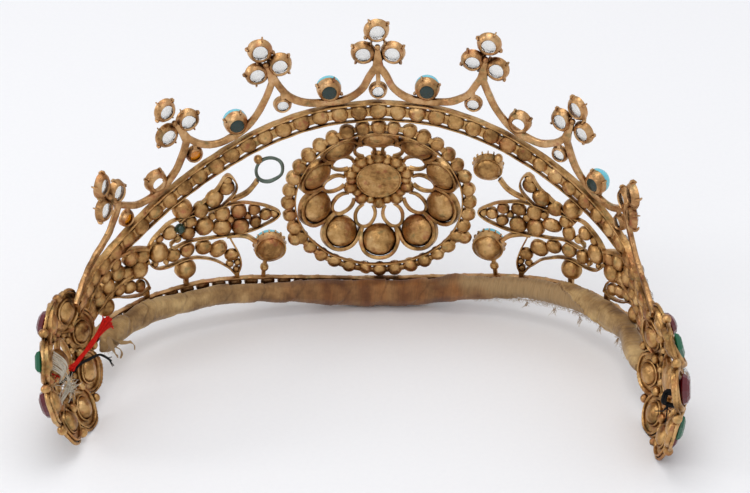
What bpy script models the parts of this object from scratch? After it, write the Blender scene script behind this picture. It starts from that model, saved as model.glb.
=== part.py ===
"""A tiara of soldered gilt metal on a silk-bound roll, standing on its lower edge.

Every piece is laid out on the unrolled wall and then bent to the curve of the head. On the
unrolled wall, s runs along the wall from its middle (s above 0 is the side at +X), h runs up
from the base rail and d runs outwards, away from the head. These three are in millimetres, and
the bend turns them to metres. The jewelled front faces -Y, and the open side faces +Y.
"""

import math

import bmesh
import bpy
import numpy as np
from mathutils import Matrix, Vector

MM = 0.001
GAP = 0.3
SIDES = 10

# The curve of the wall: its heading is A * t + B * t ** 3 radians, with t = s / 100, up to an end
# heading. The two halves differ, because the thin metal is bent more on one side.
BEND_PLUS = {"A": 0.522, "B": 1.558, "end": math.radians(80.0)}
BEND_MINUS = {"A": 0.582, "B": 2.340, "end": math.radians(83.0)}
WALL_REACH = 125.0
PLAN_STEP = 0.25
WALL_LEAN = math.radians(5.5)
FLOOR_H = -7.66
BOX_MIDDLE_X = 4.15
BOX_MIDDLE_Y = 34.07

# Base rail and the roll sewn inside it.
RAIL_H = 3.4
RAIL_DEPTH = 2.6
RAIL_TOP = -0.35
RAIL_REACH = {1: 89.6, -1: 88.1}
RAIL_RISE = 3.9
RAIL_RISE_AT = 59.0
ROLL_THICK = 4.4
ROLL_TALL = 7.9
ROLL_ROUND = 1.9
ROLL_STEP = 5.0
ROLL_STEPS = (-15, 14)
ROLL_RISE_SHARE = 0.72
ROLL_SLIM = 2.4
ROLL_SLIM_AT = 38.0

# Arch rail: a row of closed collets between two strips that stand on edge.
ARCH_LINE = (
    (0, 50.0), (14.3, 48.4), (28, 44.0), (41, 37.6), (53.5, 30.6), (65.6, 23.9), (76, 20.2), (88.7, 18.8),
)
ARCH_PITCH = 4.81
ARCH_COLLETS = 18
ARCH_COLLET_R = 2.25
ARCH_STRIP_AT = 2.3
# Strips that are soldered edge to edge stand this much out of level with each other, as hand-laid
# strip does.
UNEVEN = 0.05
STRIP_THICK = 0.6
STRIP_DEPTH = 3.0

# Crest: three scallops a side between forks, with collets in and under them.
CREST_WIDE = 1.75
CREST_DEPTH = 1.2
FORKS = ((0.0, 63.2, 0), (25.8, 60.5, 16), (48.2, 47.0, 27), (69.3, 35.0, 33))
SCALLOPS = (
    ((0, 63.0), (2.0, 60), (4, 56.2), (7.5, 53.6), (12.3, 52.7), (18, 53), (22, 55), (24.2, 58),
     (25.6, 60.5)),
    ((25.8, 60.4), (27.3, 56), (30, 50.7), (33.2, 47), (37, 44.8), (41, 43.7), (45, 44.7), (48.2, 47)),
    ((48.2, 47), (50.2, 41), (53, 36.6), (57, 33.5), (62, 32.2), (66, 33.3), (69.3, 35)),
    ((68.9, 35.7), (71.3, 31), (73.8, 27.8), (78, 25.6), (83, 24.2), (87, 23.6)),
)
SCALLOP_SETTINGS = ((12.0, 55.9), (35.3, 48.5), (57.0, 36.7))
UNDER_COLLETS = ((0.0, 55.6, 7.0), (23.5, 52.6, 4.0), (46.3, 41.7, 4.0), (66.3, 29.6, 4.0))
UNDER_COLLET_R = 2.45
SCALLOP_SETTING_R = 3.3
CREST_POST = (1.2, 1.0)
CREST_STEP = 4.5
TURQUOISE_AT = ((1, 0), (1, 1), (-1, 0), (-1, 2))
TURQUOISE_SHAPE = ((0, 3.8), (1.9, 3.2), (2.9, 1.85))

# Trefoil of three open-backed collets on each fork.
TREFOIL_RINGS = ((-3.6, 2.95), (3.6, 2.95), (0.0, 9.0))
TREFOIL_R = 3.45
TREFOIL_POST = (1.4, 6.3)
TREFOIL_POST_SIZE = (1.3, 1.2)

# Medallion: an oval row of collets on a wire, round a domed flower of ten petals.
MEDALLION_H = 23.5
ROW_HALF_S = 22.6
ROW_HALF_H = 21.65
ROW_COLLETS = 36
ROW_COLLET_R = 1.95
OUTER_COLLET = (21.1, 12.4)
WIRE_PART = 0.925
WIRE_DEPTH = 3.2
DOME_TALL = 9.3
DOME_R = 20.6
DOME_POWER = 2.2
FLOWER_WIDEN = 1.04
PETALS = 10
PETAL_AT = 15.7
PETAL_R = 4.4
LOOP_AT = 10.3
LOOP_SHAPE = ((1.95, 0), (3.0, -0.6), (3.0, 0.6))
BEAD_AT = 6.2
BEAD_R = 1.6
HEART_SHAPE = ((5.3, 1.2), (5.3, -1.1), (4.4, -1.6))
PETAL_POST = ((0, -3.0), (0, 1.6))
PETAL_POST_SIZE = (1.2, 1.1)

# Sprays: leaves outlined with strip, with rows of collets along them, from the medallion to the side.
LEAF_STRIP = 0.8
LEAF_DEPTH = 2.2
LEAF_STEP = 7.0
LEAVES = (
    ((57.9, 16.2), (55, 20.6), (49.5, 23.2), (43, 24.6), (36, 25.4), (31.5, 24.7), (28, 23.2),
     (25.6, 20.6), (28.5, 17.4), (34, 15.4), (40, 15.2), (47, 16.4), (53, 16.4), (58.6, 14.6)),
    ((39.8, 24.6), (36.3, 28.2), (35.6, 31.2), (37.9, 34.2), (41, 30.2), (45.5, 26.6), (51, 23.0)),
    ((37.6, 15.2), (35.6, 10.2), (34.9, 6.5), (36.1, 3.6), (38, 6), (41, 8.8), (45.5, 10.8), (50, 11.2),
     (55, 10.4), (59.2, 12.4), (56.4, 15.6)),
)
LEAF_ROWS = (
    ((26.4, 20.6), (31.4, 21.2), (37, 20.8), (44.3, 20.2), (50.5, 19.6), (55.2, 18.4)),
    ((37.6, 32.8), (39.4, 29.2), (42.6, 26.6), (46.5, 24.6)),
    ((36.0, 5.0), (37.4, 9.3), (40.6, 12), (44.6, 13.4), (49.2, 13.8), (53.6, 13.2), (57.6, 14.6)),
    ((58.5, 16.2), (64, 15.8), (69, 13.0), (75, 9.9), (84, 9.4)),
    ((65, 15.0), (69, 17.0), (74, 15.6), (80, 12.0), (84, 9.6)),
    ((59.4, 6.4), (64.2, 7.6), (70, 8.8), (77, 9.4)),
)
ROW_BAR_WIDE = 2.7
ROW_BAR_DEPTH = 2.8
STEM_STEP = 3.0
STEM_WIDE = 1.1
STEM_DEPTH = 1.5
STEMS = (
    ((30.3, 31.45), (32.2, 28.9), (34.5, 27.4), (37.4, 26.6)),
    ((31.0, 12.8), (33, 14.7), (35.5, 15.3)),
)
SPRAY_DOMES = ((49.9, 26.3, 2.5), (49.3, 8.2, 2.9), (62.4, 12.6, 2.7), (73.6, 6.8, 2.4))
SPRAY_FEET = ((36.0, 4.4), (49.3, 6.2), (60.4, 6.2))
SPRAY_FOOT_SIZE = (1.2, 1.4)

# Crown settings beside the medallion.
UPPER_SETTING = (27.3, 34.2, 3.7)
LOWER_SETTING = (27.4, 10.3, 4.0)
LOWER_FOOT = ((28.7, 7.6), (29.5, 2.5))
LOWER_FOOT_SIZE = (1.3, 1.3)
UPPER_WIRE = ((2.9, -0.4), (3.7, -0.4), (3.7, 0.4), (2.9, 0.4))
UPPER_BEAD = (2.7, 3.3, 1.1)

# End rosettes: eight lobes round a raised hub, with a stone on each.
ROSETTE_PLACE = {1: (103.8, 9.93, -1.0), -1: (-104.8, 9.2, -0.7)}
ROSETTE_TUCK = {1: math.radians(17), -1: math.radians(8)}
ROSETTE_SPIN = {1: math.radians(38.8), -1: math.radians(18.6)}
LOBES = 8
LOBE_AT = 12.8
LOBE_R = 4.75
LOBE_FRONT = 0.8
HUB_SHAPE = ((4.4, 1.2), (4.4, -1.4), (3.6, -2.0))
HUB_RISE = 3.2
ROSETTE_FALL_R = 15.0
ROSETTE_RING = ((7.1, 1.77), (8.5, 1.37), (8.5, 2.77), (7.1, 3.17))
SPOKES = 4
SPOKE = ((3.6, 0), (9.2, 0))
SPOKE_SIZE = (1.6, 1.4)
SPOKE_OUT = 2.7
LOBE_STONE = (3.2, 2.1)
HEART_STONE = (3.3, 2.4)

GILT = ("gilt brass", (0.33, 0.18, 0.06), 0.38, 1.0)
DARK_WIRE = ("tarnished wire", (0.05, 0.07, 0.06), 0.5, 1.0)
SILK = ("silk ribbon", (0.34, 0.24, 0.12), 0.8, 0.0)
TURQUOISE = ("turquoise", (0.13, 0.5, 0.56), 0.35, 0.0)
RED_GLASS = ("red glass", (0.30, 0.01, 0.02), 0.08, 0.0)
GREEN_GLASS = ("green glass", (0.01, 0.25, 0.10), 0.08, 0.0)
CLEAR_GLASS = ("clear glass", (0.75, 0.75, 0.72), 0.08, 0.0)


def clear_scene():
    for obj in list(bpy.data.objects):
        bpy.data.objects.remove(obj)
    part = bpy.data.collections.new("tiara")
    helpers = bpy.data.collections.new("soldered pieces")
    helpers.hide_render = True
    for collection in (part, helpers):
        bpy.context.scene.collection.children.link(collection)
    return part, helpers


def material(finish):
    name, colour, roughness, metallic = finish
    made = bpy.data.materials.get(name)
    if made:
        return made
    made = bpy.data.materials.new(name)
    made.use_nodes = True
    shader = made.node_tree.nodes["Principled BSDF"]
    shader.inputs["Base Color"].default_value = (*colour, 1)
    shader.inputs["Roughness"].default_value = roughness
    shader.inputs["Metallic"].default_value = metallic
    made.diffuse_color = (*colour, 1)
    return made


def plan_of(turn):
    """The wall's plan on one side: distance along it, x, y and heading."""
    s = np.arange(0, WALL_REACH, PLAN_STEP)
    heading = np.minimum(turn["A"] * s / 100 + turn["B"] * (s / 100) ** 3, turn["end"])
    x, y = (
        np.concatenate([[0], np.cumsum((rate[1:] + rate[:-1]) / 2 * PLAN_STEP)])
        for rate in (np.cos(heading), np.sin(heading))
    )
    return s, x, y, heading


PLANS = {1: plan_of(BEND_PLUS), -1: plan_of(BEND_MINUS)}


def bend(point, lean=WALL_LEAN):
    """A place on the unrolled wall, in metres round the head."""
    s, h, d = point
    side = -1 if s < 0 else 1
    table, xs, ys, headings = PLANS[side]
    x, y, heading = (np.interp(abs(s), table, column) for column in (xs, ys, headings))
    out = d * math.cos(lean) - h * math.sin(lean)
    x += math.sin(heading) * out
    y -= math.cos(heading) * out
    z = h * math.cos(lean) + d * math.sin(lean) - FLOOR_H
    return Vector((side * x - BOX_MIDDLE_X, y - BOX_MIDDLE_Y, z)) * MM


def smooth(points, step, closed=False):
    """Points about every step along a smooth line through the given ones."""
    points = [np.array(p, float) for p in points]
    count = len(points)
    line = []

    def pick(k):
        return points[k % count if closed else min(max(k, 0), count - 1)]

    for i in range(count if closed else count - 1):
        before, start, end, after = (pick(i + k) for k in (-1, 0, 1, 2))
        parts = max(1, round(float(np.linalg.norm(end - start)) / step))
        for t in np.arange(parts) / parts:
            square = 2 * before - 5 * start + 4 * end - after
            cube = 3 * (start - end) + after - before
            line.append(start + 0.5 * t * (end - before + t * (square + t * cube)))
    return line if closed else line + [points[-1]]


def along(points, pitch, count):
    """The first count places at one pitch along a smooth line."""
    line = np.array(smooth(points, PLAN_STEP))
    run = np.concatenate([[0], np.cumsum(np.linalg.norm(np.diff(line, axis=0), axis=1))])
    places = pitch * np.arange(count)
    return list(zip(np.interp(places, run, line[:, 0]), np.interp(places, run, line[:, 1])))


def offset(points, distance):
    """The line moved sideways, to its left."""
    points = np.array(points, float)
    ways = np.gradient(points, axis=0)
    ways /= np.linalg.norm(ways, axis=1)[:, None]
    return points + distance * np.stack([-ways[:, 1], ways[:, 0]], axis=1)


def mirrored(points, side):
    return [(side * s, h) for s, h in points]


def strip(path, width, depth, closed=False, d=0.0):
    """A flat strip on edge along a path on the wall: width across it, depth through the wall."""
    points = [Vector(p) for p in path]
    count = len(points)
    bm = bmesh.new()
    rings = []
    for i, point in enumerate(points):
        before = points[i - 1] if closed or i else point
        after = points[(i + 1) % count] if closed or i < count - 1 else point
        way = (after - before).normalized()
        side = Vector((-way.y, way.x)) * width / 2
        corners = [(point + side, -1), (point + side, 1), (point - side, 1), (point - side, -1)]
        rings.append([bm.verts.new((at.x, at.y, d + deep * depth / 2)) for at, deep in corners])
    pairs = list(zip(rings, rings[1:] + rings[:1] if closed else rings[1:]))
    for ring, following in pairs:
        for k in range(4):
            bm.faces.new((ring[k], ring[(k + 1) % 4], following[(k + 1) % 4], following[k]))
    if not closed:
        bm.faces.new(rings[0])
        bm.faces.new(rings[-1])
    return bm


def turned(profile, sides=SIDES, ring=False):
    """A shape turned about d from a profile of radius and depth. An end off the axis is capped.

    A ring's profile is closed instead, so the shape has a hole.
    """
    bm = bmesh.new()
    verts = [bm.verts.new((radius, 0, depth)) for radius, depth in profile]
    edges = [bm.edges.new(pair) for pair in zip(verts, verts[1:])]
    if ring:
        edges.append(bm.edges.new((verts[-1], verts[0])))
    bmesh.ops.spin(bm, geom=verts + edges, cent=(0, 0, 0), axis=(0, 0, 1), dvec=(0, 0, 0),
                   angle=math.tau, steps=sides, use_merge=True)
    bmesh.ops.remove_doubles(bm, verts=bm.verts, dist=0.0001)
    bmesh.ops.holes_fill(bm, edges=bm.edges)
    return bm


def cup(radius, front=1.25, back=-2.1):
    """A small closed setting: a flat front that tapers to the back."""
    return turned(((radius, front), (0, back)))


def deep_cup(radius, front=1.1, shoulder=-0.8, back=-2.8):
    """A closed setting with a straight rim and a round back."""
    return turned(((radius, front), (radius, shoulder), (0, back)))


def open_collet(radius, depth=3.0):
    """A claw setting that tapers to the back and is open there."""
    profile = ((0.62 * radius, -0.3 * depth), (0.82 * radius, -0.5 * depth), (radius, 0.5 * depth))
    return turned(profile, ring=True)


def bead(radius):
    return turned(((0, radius), (radius, 0), (0, -radius)))


def seated_stone(radius, tall, seat):
    """A stone with a table, eight crown facets and a pointed back that ends at the seat's depth."""
    return turned(((0.55 * radius, seat + tall), (radius, seat + 0.55 * tall), (0, seat)), sides=8)


def at(s, h, d=0.0, turn=None):
    matrix = Matrix.Translation((s, h, d))
    return matrix @ turn if turn else matrix


class Piece:
    """The shapes that are soldered into one piece of the part."""

    def __init__(self, name, finish):
        self.name = name
        self.finish = finish
        self.shapes = []

    def add(self, bm, matrix=None, lean=WALL_LEAN):
        if matrix:
            bm.transform(matrix)
        bmesh.ops.recalc_face_normals(bm, faces=bm.faces)
        for vert in bm.verts:
            vert.co = bend(vert.co, lean)
        mesh = bpy.data.meshes.new(self.name)
        bm.to_mesh(mesh)
        bm.free()
        self.shapes.append(mesh)

    def make(self):
        """One object, with the shapes joined by a Boolean union."""
        obj = bpy.data.objects.new(self.name, self.shapes[0])
        PART.objects.link(obj)
        group = bpy.data.collections.new(self.name + " shapes")
        HELPERS.children.link(group)
        for mesh in self.shapes[1:]:
            group.objects.link(bpy.data.objects.new(mesh.name + " shape", mesh))
        if len(self.shapes) > 1:
            join = obj.modifiers.new("solder", "BOOLEAN")
            join.operation = "UNION"
            join.operand_type = "COLLECTION"
            join.collection = group
            graph = bpy.context.evaluated_depsgraph_get()
            joined = bpy.data.meshes.new_from_object(obj.evaluated_get(graph))
            obj.modifiers.clear()
            obj.data = joined
        for helper in list(group.objects):
            bpy.data.objects.remove(helper)
        bpy.data.collections.remove(group)
        obj.data.materials.clear()
        obj.data.materials.append(material(self.finish))
        obj.data.set_sharp_from_angle(angle=math.radians(40))
        return obj


def rail_top(s):
    """Height of the base rail's upper edge: it rises to the sides and runs level into the rosettes."""
    part = min(abs(s) / RAIL_RISE_AT, 1)
    return RAIL_TOP + RAIL_RISE * (2 - part * part) * part * part


def make_base_rail():
    piece = Piece("base_rail", GILT)
    path = [(s, rail_top(s) - RAIL_H / 2) for s in np.linspace(-RAIL_REACH[-1], RAIL_REACH[1], 39)]
    piece.add(strip(path, RAIL_H, RAIL_DEPTH))
    piece.make()


def ease(part):
    """From 0 to 1 with a level start and end."""
    part = min(max(part, 0), 1)
    return part * part * (3 - 2 * part)


def roll_section(slim):
    """Rounded section of the roll as (d, h) from its bottom outer corner, flat below and inside."""
    outer, inner = -ROLL_ROUND, ROLL_ROUND - ROLL_THICK
    low, high = ROLL_ROUND + slim, ROLL_TALL - ROLL_ROUND
    corners = ((outer, low, 270), (outer, high, 0), (inner, high, 90), (inner, low, 180))
    points = []
    for d, h, start in corners:
        for step in (0, 90):
            angle = math.radians(start + step)
            points.append((d + ROLL_ROUND * math.cos(angle), h + ROLL_ROUND * math.sin(angle)))
    return points


def make_ribbon_roll():
    """The roll stands upright, so that its underside is level and its inner side vertical."""
    piece = Piece("ribbon_roll", SILK)
    bm = bmesh.new()
    rings = []
    for s in ROLL_STEP * (np.arange(ROLL_STEPS[0], ROLL_STEPS[1] + 1) + 0.5):
        rise = ROLL_RISE_SHARE * (rail_top(s) - RAIL_TOP)
        back = -RAIL_DEPTH / 2 - GAP - math.sin(WALL_LEAN) * (ROLL_TALL + FLOOR_H + rise)
        slim = ROLL_SLIM * ease((abs(s) - ROLL_STEP / 2) / ROLL_SLIM_AT)
        rings.append([bm.verts.new((s, FLOOR_H + rise + h, back + d)) for d, h in roll_section(slim)])
    for ring, following in zip(rings, rings[1:]):
        for k, vert in enumerate(ring):
            bm.faces.new((vert, ring[k - 1], following[k - 1], following[k]))
    bm.faces.new(rings[0])
    bm.faces.new(rings[-1])
    piece.add(bm, lean=0.0)
    piece.make()


def make_arch_rail():
    piece = Piece("arch_rail", GILT)
    half = smooth(ARCH_LINE, ARCH_PITCH)
    line = mirrored(half[:0:-1], -1) + [tuple(p) for p in half]
    for sideways in (ARCH_STRIP_AT, -ARCH_STRIP_AT):
        piece.add(strip(offset(line, sideways), STRIP_THICK, STRIP_DEPTH))
    for k, (s, h) in enumerate(along(ARCH_LINE, ARCH_PITCH, ARCH_COLLETS + 1)):
        for side in (1, -1) if k else (1,):
            piece.add(cup(ARCH_COLLET_R), at(side * s, h))
    piece.make()


def make_crest():
    piece = Piece("crest", GILT)
    for side in (1, -1):
        for k, scallop in enumerate(SCALLOPS):
            line = smooth(mirrored(scallop, side), CREST_STEP)
            piece.add(strip(line, CREST_WIDE, CREST_DEPTH, d=UNEVEN * (k + 0.5) * side))
        for s, h in SCALLOP_SETTINGS:
            piece.add(open_collet(SCALLOP_SETTING_R), at(side * s, h))
        for s, h, post in UNDER_COLLETS if side > 0 else UNDER_COLLETS[1:]:
            piece.add(open_collet(UNDER_COLLET_R), at(side * s, h))
            stem = ((side * s, h + 0.8 * UNDER_COLLET_R), (side * s, h + post))
            piece.add(strip(stem, *CREST_POST))
    piece.make()


def make_trefoils():
    count = len(FORKS)
    for number in range(1 - count, count):
        s, h, tilt = FORKS[abs(number)]
        side = -1 if number < 0 else 1
        turn = Matrix.Rotation(math.radians(-tilt * side), 4, "Z")
        piece = Piece(f"trefoil_{count - number}", GILT)
        for ring_s, ring_h in TREFOIL_RINGS:
            piece.add(open_collet(TREFOIL_R), at(side * s, h, 0, turn @ at(ring_s, ring_h)))
        post = [(0, end) for end in TREFOIL_POST]
        piece.add(strip(post, *TREFOIL_POST_SIZE), at(side * s, h, 0, turn))
        piece.make()


def make_turquoises():
    for number, (side, place) in enumerate(TURQUOISE_AT, 1):
        s, h = SCALLOP_SETTINGS[place]
        piece = Piece(f"turquoise_{number}", TURQUOISE)
        piece.add(turned(TURQUOISE_SHAPE, sides=12), at(side * s, h))
        piece.make()


def on_row(angle, part=1.0):
    return part * ROW_HALF_S * math.sin(angle), MEDALLION_H - part * ROW_HALF_H * math.cos(angle)


def make_medallion_ring():
    piece = Piece("medallion_ring", GILT)
    angles = [math.tau * k / ROW_COLLETS for k in range(ROW_COLLETS)]
    wire = [on_row(angle, WIRE_PART) for angle in angles]
    piece.add(strip(wire, STRIP_THICK, WIRE_DEPTH, closed=True))
    for angle in angles:
        piece.add(cup(ROW_COLLET_R), at(*on_row(angle)))
    for side in (1, -1):
        piece.add(cup(ROW_COLLET_R), at(side * OUTER_COLLET[0], OUTER_COLLET[1]))
    piece.make()


def dome(radius):
    """How far the flower stands out of the wall, and how steeply it falls, at a radius."""
    part = radius / DOME_R
    out = DOME_TALL * (1 - part ** DOME_POWER)
    fall = DOME_TALL * DOME_POWER * part ** (DOME_POWER - 1) / DOME_R
    return out, math.atan(fall)


def on_dome(angle, radius):
    """Placement on the flower's dome: x runs round it, y outwards down it and z off it."""
    out, slope = dome(radius)
    spin = Matrix.Rotation(angle, 4, "Z") @ Matrix.Translation((0, -radius, out))
    widen = Matrix.Translation((0, MEDALLION_H, 0)) @ Matrix.Diagonal((FLOWER_WIDEN, 1, 1, 1))
    return widen @ spin @ Matrix.Rotation(slope, 4, "X")


def make_medallion_flower():
    piece = Piece("medallion_flower", GILT)
    piece.add(turned(HEART_SHAPE, sides=12), at(0, MEDALLION_H, DOME_TALL))
    for k in range(PETALS):
        angle = math.tau * k / PETALS
        between = angle + math.pi / PETALS
        piece.add(deep_cup(PETAL_R), on_dome(angle, PETAL_AT))
        piece.add(strip(PETAL_POST, *PETAL_POST_SIZE), on_dome(angle, LOOP_AT))
        piece.add(turned(LOOP_SHAPE, ring=True), on_dome(between, LOOP_AT))
        piece.add(bead(BEAD_R), on_dome(between, BEAD_AT))
    piece.make()


def make_sprays():
    for side, name in ((1, "left"), (-1, "right")):
        piece = Piece("spray_" + name, GILT)
        for k, leaf in enumerate(LEAVES):
            outline = smooth(mirrored(leaf, side), LEAF_STEP)
            piece.add(strip(outline, LEAF_STRIP, LEAF_DEPTH, d=UNEVEN * k))
        for k, row in enumerate(LEAF_ROWS):
            bar = smooth(mirrored(row, side), LEAF_STEP)
            piece.add(strip(bar, ROW_BAR_WIDE, ROW_BAR_DEPTH, d=-UNEVEN * (k + 1)))
        for stem in STEMS:
            piece.add(strip(smooth(mirrored(stem, side), STEM_STEP), STEM_WIDE, STEM_DEPTH, d=UNEVEN))
        for s, h in SPRAY_FEET:
            piece.add(strip(((side * s, h), (side * s, rail_top(s) + GAP)), *SPRAY_FOOT_SIZE))
        for s, h, radius in SPRAY_DOMES:
            piece.add(deep_cup(radius), at(side * s, h))
        piece.make()


def make_crown_settings():
    for side, name in ((1, "left"), (-1, "right")):
        s, h, radius = UPPER_SETTING
        if side > 0:
            piece = Piece("setting_upper_left", DARK_WIRE)
            piece.add(turned(UPPER_WIRE, sides=14, ring=True), at(s, h))
        else:
            piece = Piece("setting_upper_right", GILT)
            piece.add(crown_cup(radius), at(-s, h))
        bead_s, bead_h, bead_r = UPPER_BEAD
        piece.add(bead(bead_r), at(side * (s + bead_s), h + bead_h))
        piece.make()
        s, h, radius = LOWER_SETTING
        piece = Piece("setting_lower_" + name, GILT)
        piece.add(crown_cup(radius), at(side * s, h))
        piece.add(strip(mirrored(LOWER_FOOT, side), *LOWER_FOOT_SIZE, d=UNEVEN))
        piece.make()


def crown_cup(radius):
    """A round-backed cup in a taller gallery."""
    return turned(((radius, 1.6), (radius, -0.8), (0.8 * radius, -1.0), (0, -3.0)))


def rosette_out(radius):
    """How far the rosette's back stands out at a radius."""
    return HUB_RISE * (1 - (radius / ROSETTE_FALL_R) ** 2)


def make_rosettes():
    for side, name in ((1, "left"), (-1, "right")):
        centre = at(*ROSETTE_PLACE[side], Matrix.Rotation(ROSETTE_TUCK[side], 4, "X"))
        piece = Piece("rosette_" + name, GILT)
        piece.add(turned(HUB_SHAPE), centre @ at(0, 0, HUB_RISE))
        piece.add(turned(ROSETTE_RING, sides=16, ring=True), centre)
        for k in range(SPOKES):
            spin = Matrix.Rotation(ROSETTE_SPIN[side] + math.tau * k / SPOKES, 4, "Z")
            piece.add(strip(SPOKE, *SPOKE_SIZE), centre @ spin @ at(0, 0, SPOKE_OUT))
        for k in range(LOBES):
            spin = Matrix.Rotation(ROSETTE_SPIN[side] + math.tau * k / LOBES, 4, "Z")
            lobe_out = rosette_out(LOBE_AT)
            piece.add(deep_cup(LOBE_R, front=LOBE_FRONT), centre @ spin @ at(LOBE_AT, 0, lobe_out))
            stone = Piece(f"rosette_stone_{name}_{k + 1}", RED_GLASS if k % 2 else GREEN_GLASS)
            seat = lobe_out + LOBE_FRONT + GAP
            stone.add(seated_stone(*LOBE_STONE, seat), centre @ spin @ at(LOBE_AT, 0))
            stone.make()
        piece.make()
        stone = Piece("rosette_heart_stone_" + name, CLEAR_GLASS)
        stone.add(seated_stone(*HEART_STONE, HUB_RISE + HUB_SHAPE[0][1] + GAP), centre)
        stone.make()


PART, HELPERS = clear_scene()
make_base_rail()
make_ribbon_roll()
make_arch_rail()
make_crest()
make_trefoils()
make_turquoises()
make_medallion_ring()
make_medallion_flower()
make_sprays()
make_crown_settings()
make_rosettes()
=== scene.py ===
"""The looks of an old gilt tiara on a silk-bound roll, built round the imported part.

Each piece is laid out on the unrolled wall, as the maker cut and soldered it, and then bent to the
curve of the head. On the unrolled wall, s runs along the wall from its middle (s above 0 is the
side at +X), h runs up from the base rail and d runs outwards, away from the head, in millimetres.
The jewelled front faces -Y, and the open side, which the photograph shows, faces +Y.
"""

import math

import bmesh
import bpy
import numpy as np
from mathutils import Matrix, Vector


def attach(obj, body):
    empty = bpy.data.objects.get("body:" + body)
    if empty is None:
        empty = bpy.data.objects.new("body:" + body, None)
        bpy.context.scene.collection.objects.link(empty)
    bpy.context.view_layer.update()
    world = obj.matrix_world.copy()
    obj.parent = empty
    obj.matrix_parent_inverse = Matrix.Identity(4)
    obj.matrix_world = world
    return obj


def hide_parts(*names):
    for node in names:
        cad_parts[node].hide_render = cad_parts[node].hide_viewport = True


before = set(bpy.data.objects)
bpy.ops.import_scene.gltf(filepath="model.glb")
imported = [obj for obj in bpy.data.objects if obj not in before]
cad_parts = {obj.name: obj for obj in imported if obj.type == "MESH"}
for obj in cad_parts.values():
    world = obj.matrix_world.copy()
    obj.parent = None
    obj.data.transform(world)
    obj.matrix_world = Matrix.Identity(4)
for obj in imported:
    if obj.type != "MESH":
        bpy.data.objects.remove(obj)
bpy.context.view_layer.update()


# Base rail
# Two gilt brass strips on edge with a row of small closed collets soldered between them. The silk
# roll is sewn inside it, so only the upper collets show, on the left of the photograph.

# The wall's heading is A * t + B * t ** 3 radians, with t = s / 100, up to an end heading.
WALL_BENDS = {1: (0.522, 1.558, math.radians(80.0)), -1: (0.582, 2.340, math.radians(83.0))}
WALL_REACH = 130.0
WALL_STEP = 0.25
WALL_LEAN = math.radians(5.5)
FLOOR_H = -7.66
BOX_MIDDLE_X = 4.15
BOX_MIDDLE_Y = 34.07
MM = 0.001
FLOOR_CLEAR = 0.01

RAIL_TOP = -0.35
RAIL_RISE = 3.9
RAIL_RISE_AT = 49.0
RAIL_REACH = {1: 92.0, -1: 91.0}
RAIL_STRIP = (0.6, 1.3)
RAIL_STRIPS_BELOW = (0.3, 3.1)
RAIL_STRIPS_IN = 0.3
RAIL_STATIONS = 180
RAIL_ROW = (-88.0, 90.0)
RAIL_PITCH = 4.15
RAIL_COLLET_R = 1.72
RAIL_COLLETS_BELOW = 1.95

BEZEL_WALL_SHARE = 0.16
BEZEL_WALL_LEAST = 0.3
SEAT_DEEP = 0.75
AXIS_R = 0.03

# Hand-cut metal is never quite true: it strays in waves a few millimetres long.
STRAY_WAYS = np.array([[0.9, 0.4, 1.3], [-0.5, 1.2, 0.7], [1.1, -0.8, 0.3]])
STRAY_STARTS = (0.3, 1.9, 4.1)
SHARP_ABOVE = math.radians(42)

# A colour mix node numbers its sockets: the share, the two colours and the result.
MIX_SHARE, MIX_FIRST, MIX_SECOND, MIXED = 0, 6, 7, 2


def wall_plan(side):
    """The wall's plan on one side: distance along it, x, y and heading."""
    first, third, end = WALL_BENDS[side]
    s = np.arange(0, WALL_REACH, WALL_STEP)
    heading = np.minimum(first * s / 100 + third * (s / 100) ** 3, end)
    rates = (np.cos(heading), np.sin(heading))
    x, y = (np.concatenate([[0], np.cumsum((rate[1:] + rate[:-1]) / 2 * WALL_STEP)]) for rate in rates)
    return s, x, y, heading


WALL_PLANS = {side: wall_plan(side) for side in WALL_BENDS}


def bend(points, lean=WALL_LEAN):
    """Places on the unrolled wall, in metres round the head."""
    s, h, d = np.asarray(points, float).T
    side = np.where(s < 0, -1, 1)
    halves = [[np.interp(np.abs(s), WALL_PLANS[half][0], column) for column in WALL_PLANS[half][1:]]
              for half in (1, -1)]
    x, y, heading = (np.where(side > 0, plus, minus) for plus, minus in zip(*halves))
    out = d * math.cos(lean) - h * math.sin(lean)
    z = h * math.cos(lean) + d * math.sin(lean) - FLOOR_H
    return MM * np.stack([side * (x + np.sin(heading) * out) - BOX_MIDDLE_X,
                          y - np.cos(heading) * out - BOX_MIDDLE_Y, z], axis=-1)


def smooth(points, step, closed=False):
    """Points about every step along a smooth line through the given ones."""
    points = np.array(points, float)
    count = len(points)
    line = []
    for i in range(count if closed else count - 1):
        near = np.arange(i - 1, i + 3)
        before, start, end, after = points[near % count if closed else np.clip(near, 0, count - 1)]
        parts = max(1, round(float(np.linalg.norm(end - start)) / step))
        for t in np.arange(parts) / parts:
            square = 2 * before - 5 * start + 4 * end - after
            cube = 3 * (start - end) + after - before
            line.append(start + 0.5 * t * (end - before + t * (square + t * cube)))
    return np.array(line if closed else line + [points[-1]])


def quads(rows, columns, closed):
    """Faces between rows of points that follow each other, each row a ring."""
    row = np.arange(rows if closed else rows - 1)[:, None]
    column = np.arange(columns)[None]
    here, there = row * columns, (row + 1) % rows * columns
    beside = (column + 1) % columns
    corners = [here + column, here + beside, there + beside, there + column]
    faces = np.stack(corners, -1).reshape(-1, 4).tolist()
    if not closed:
        last = (rows - 1) * columns
        faces += [list(range(columns)), list(range(last, last + columns))]
    return faces


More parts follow.
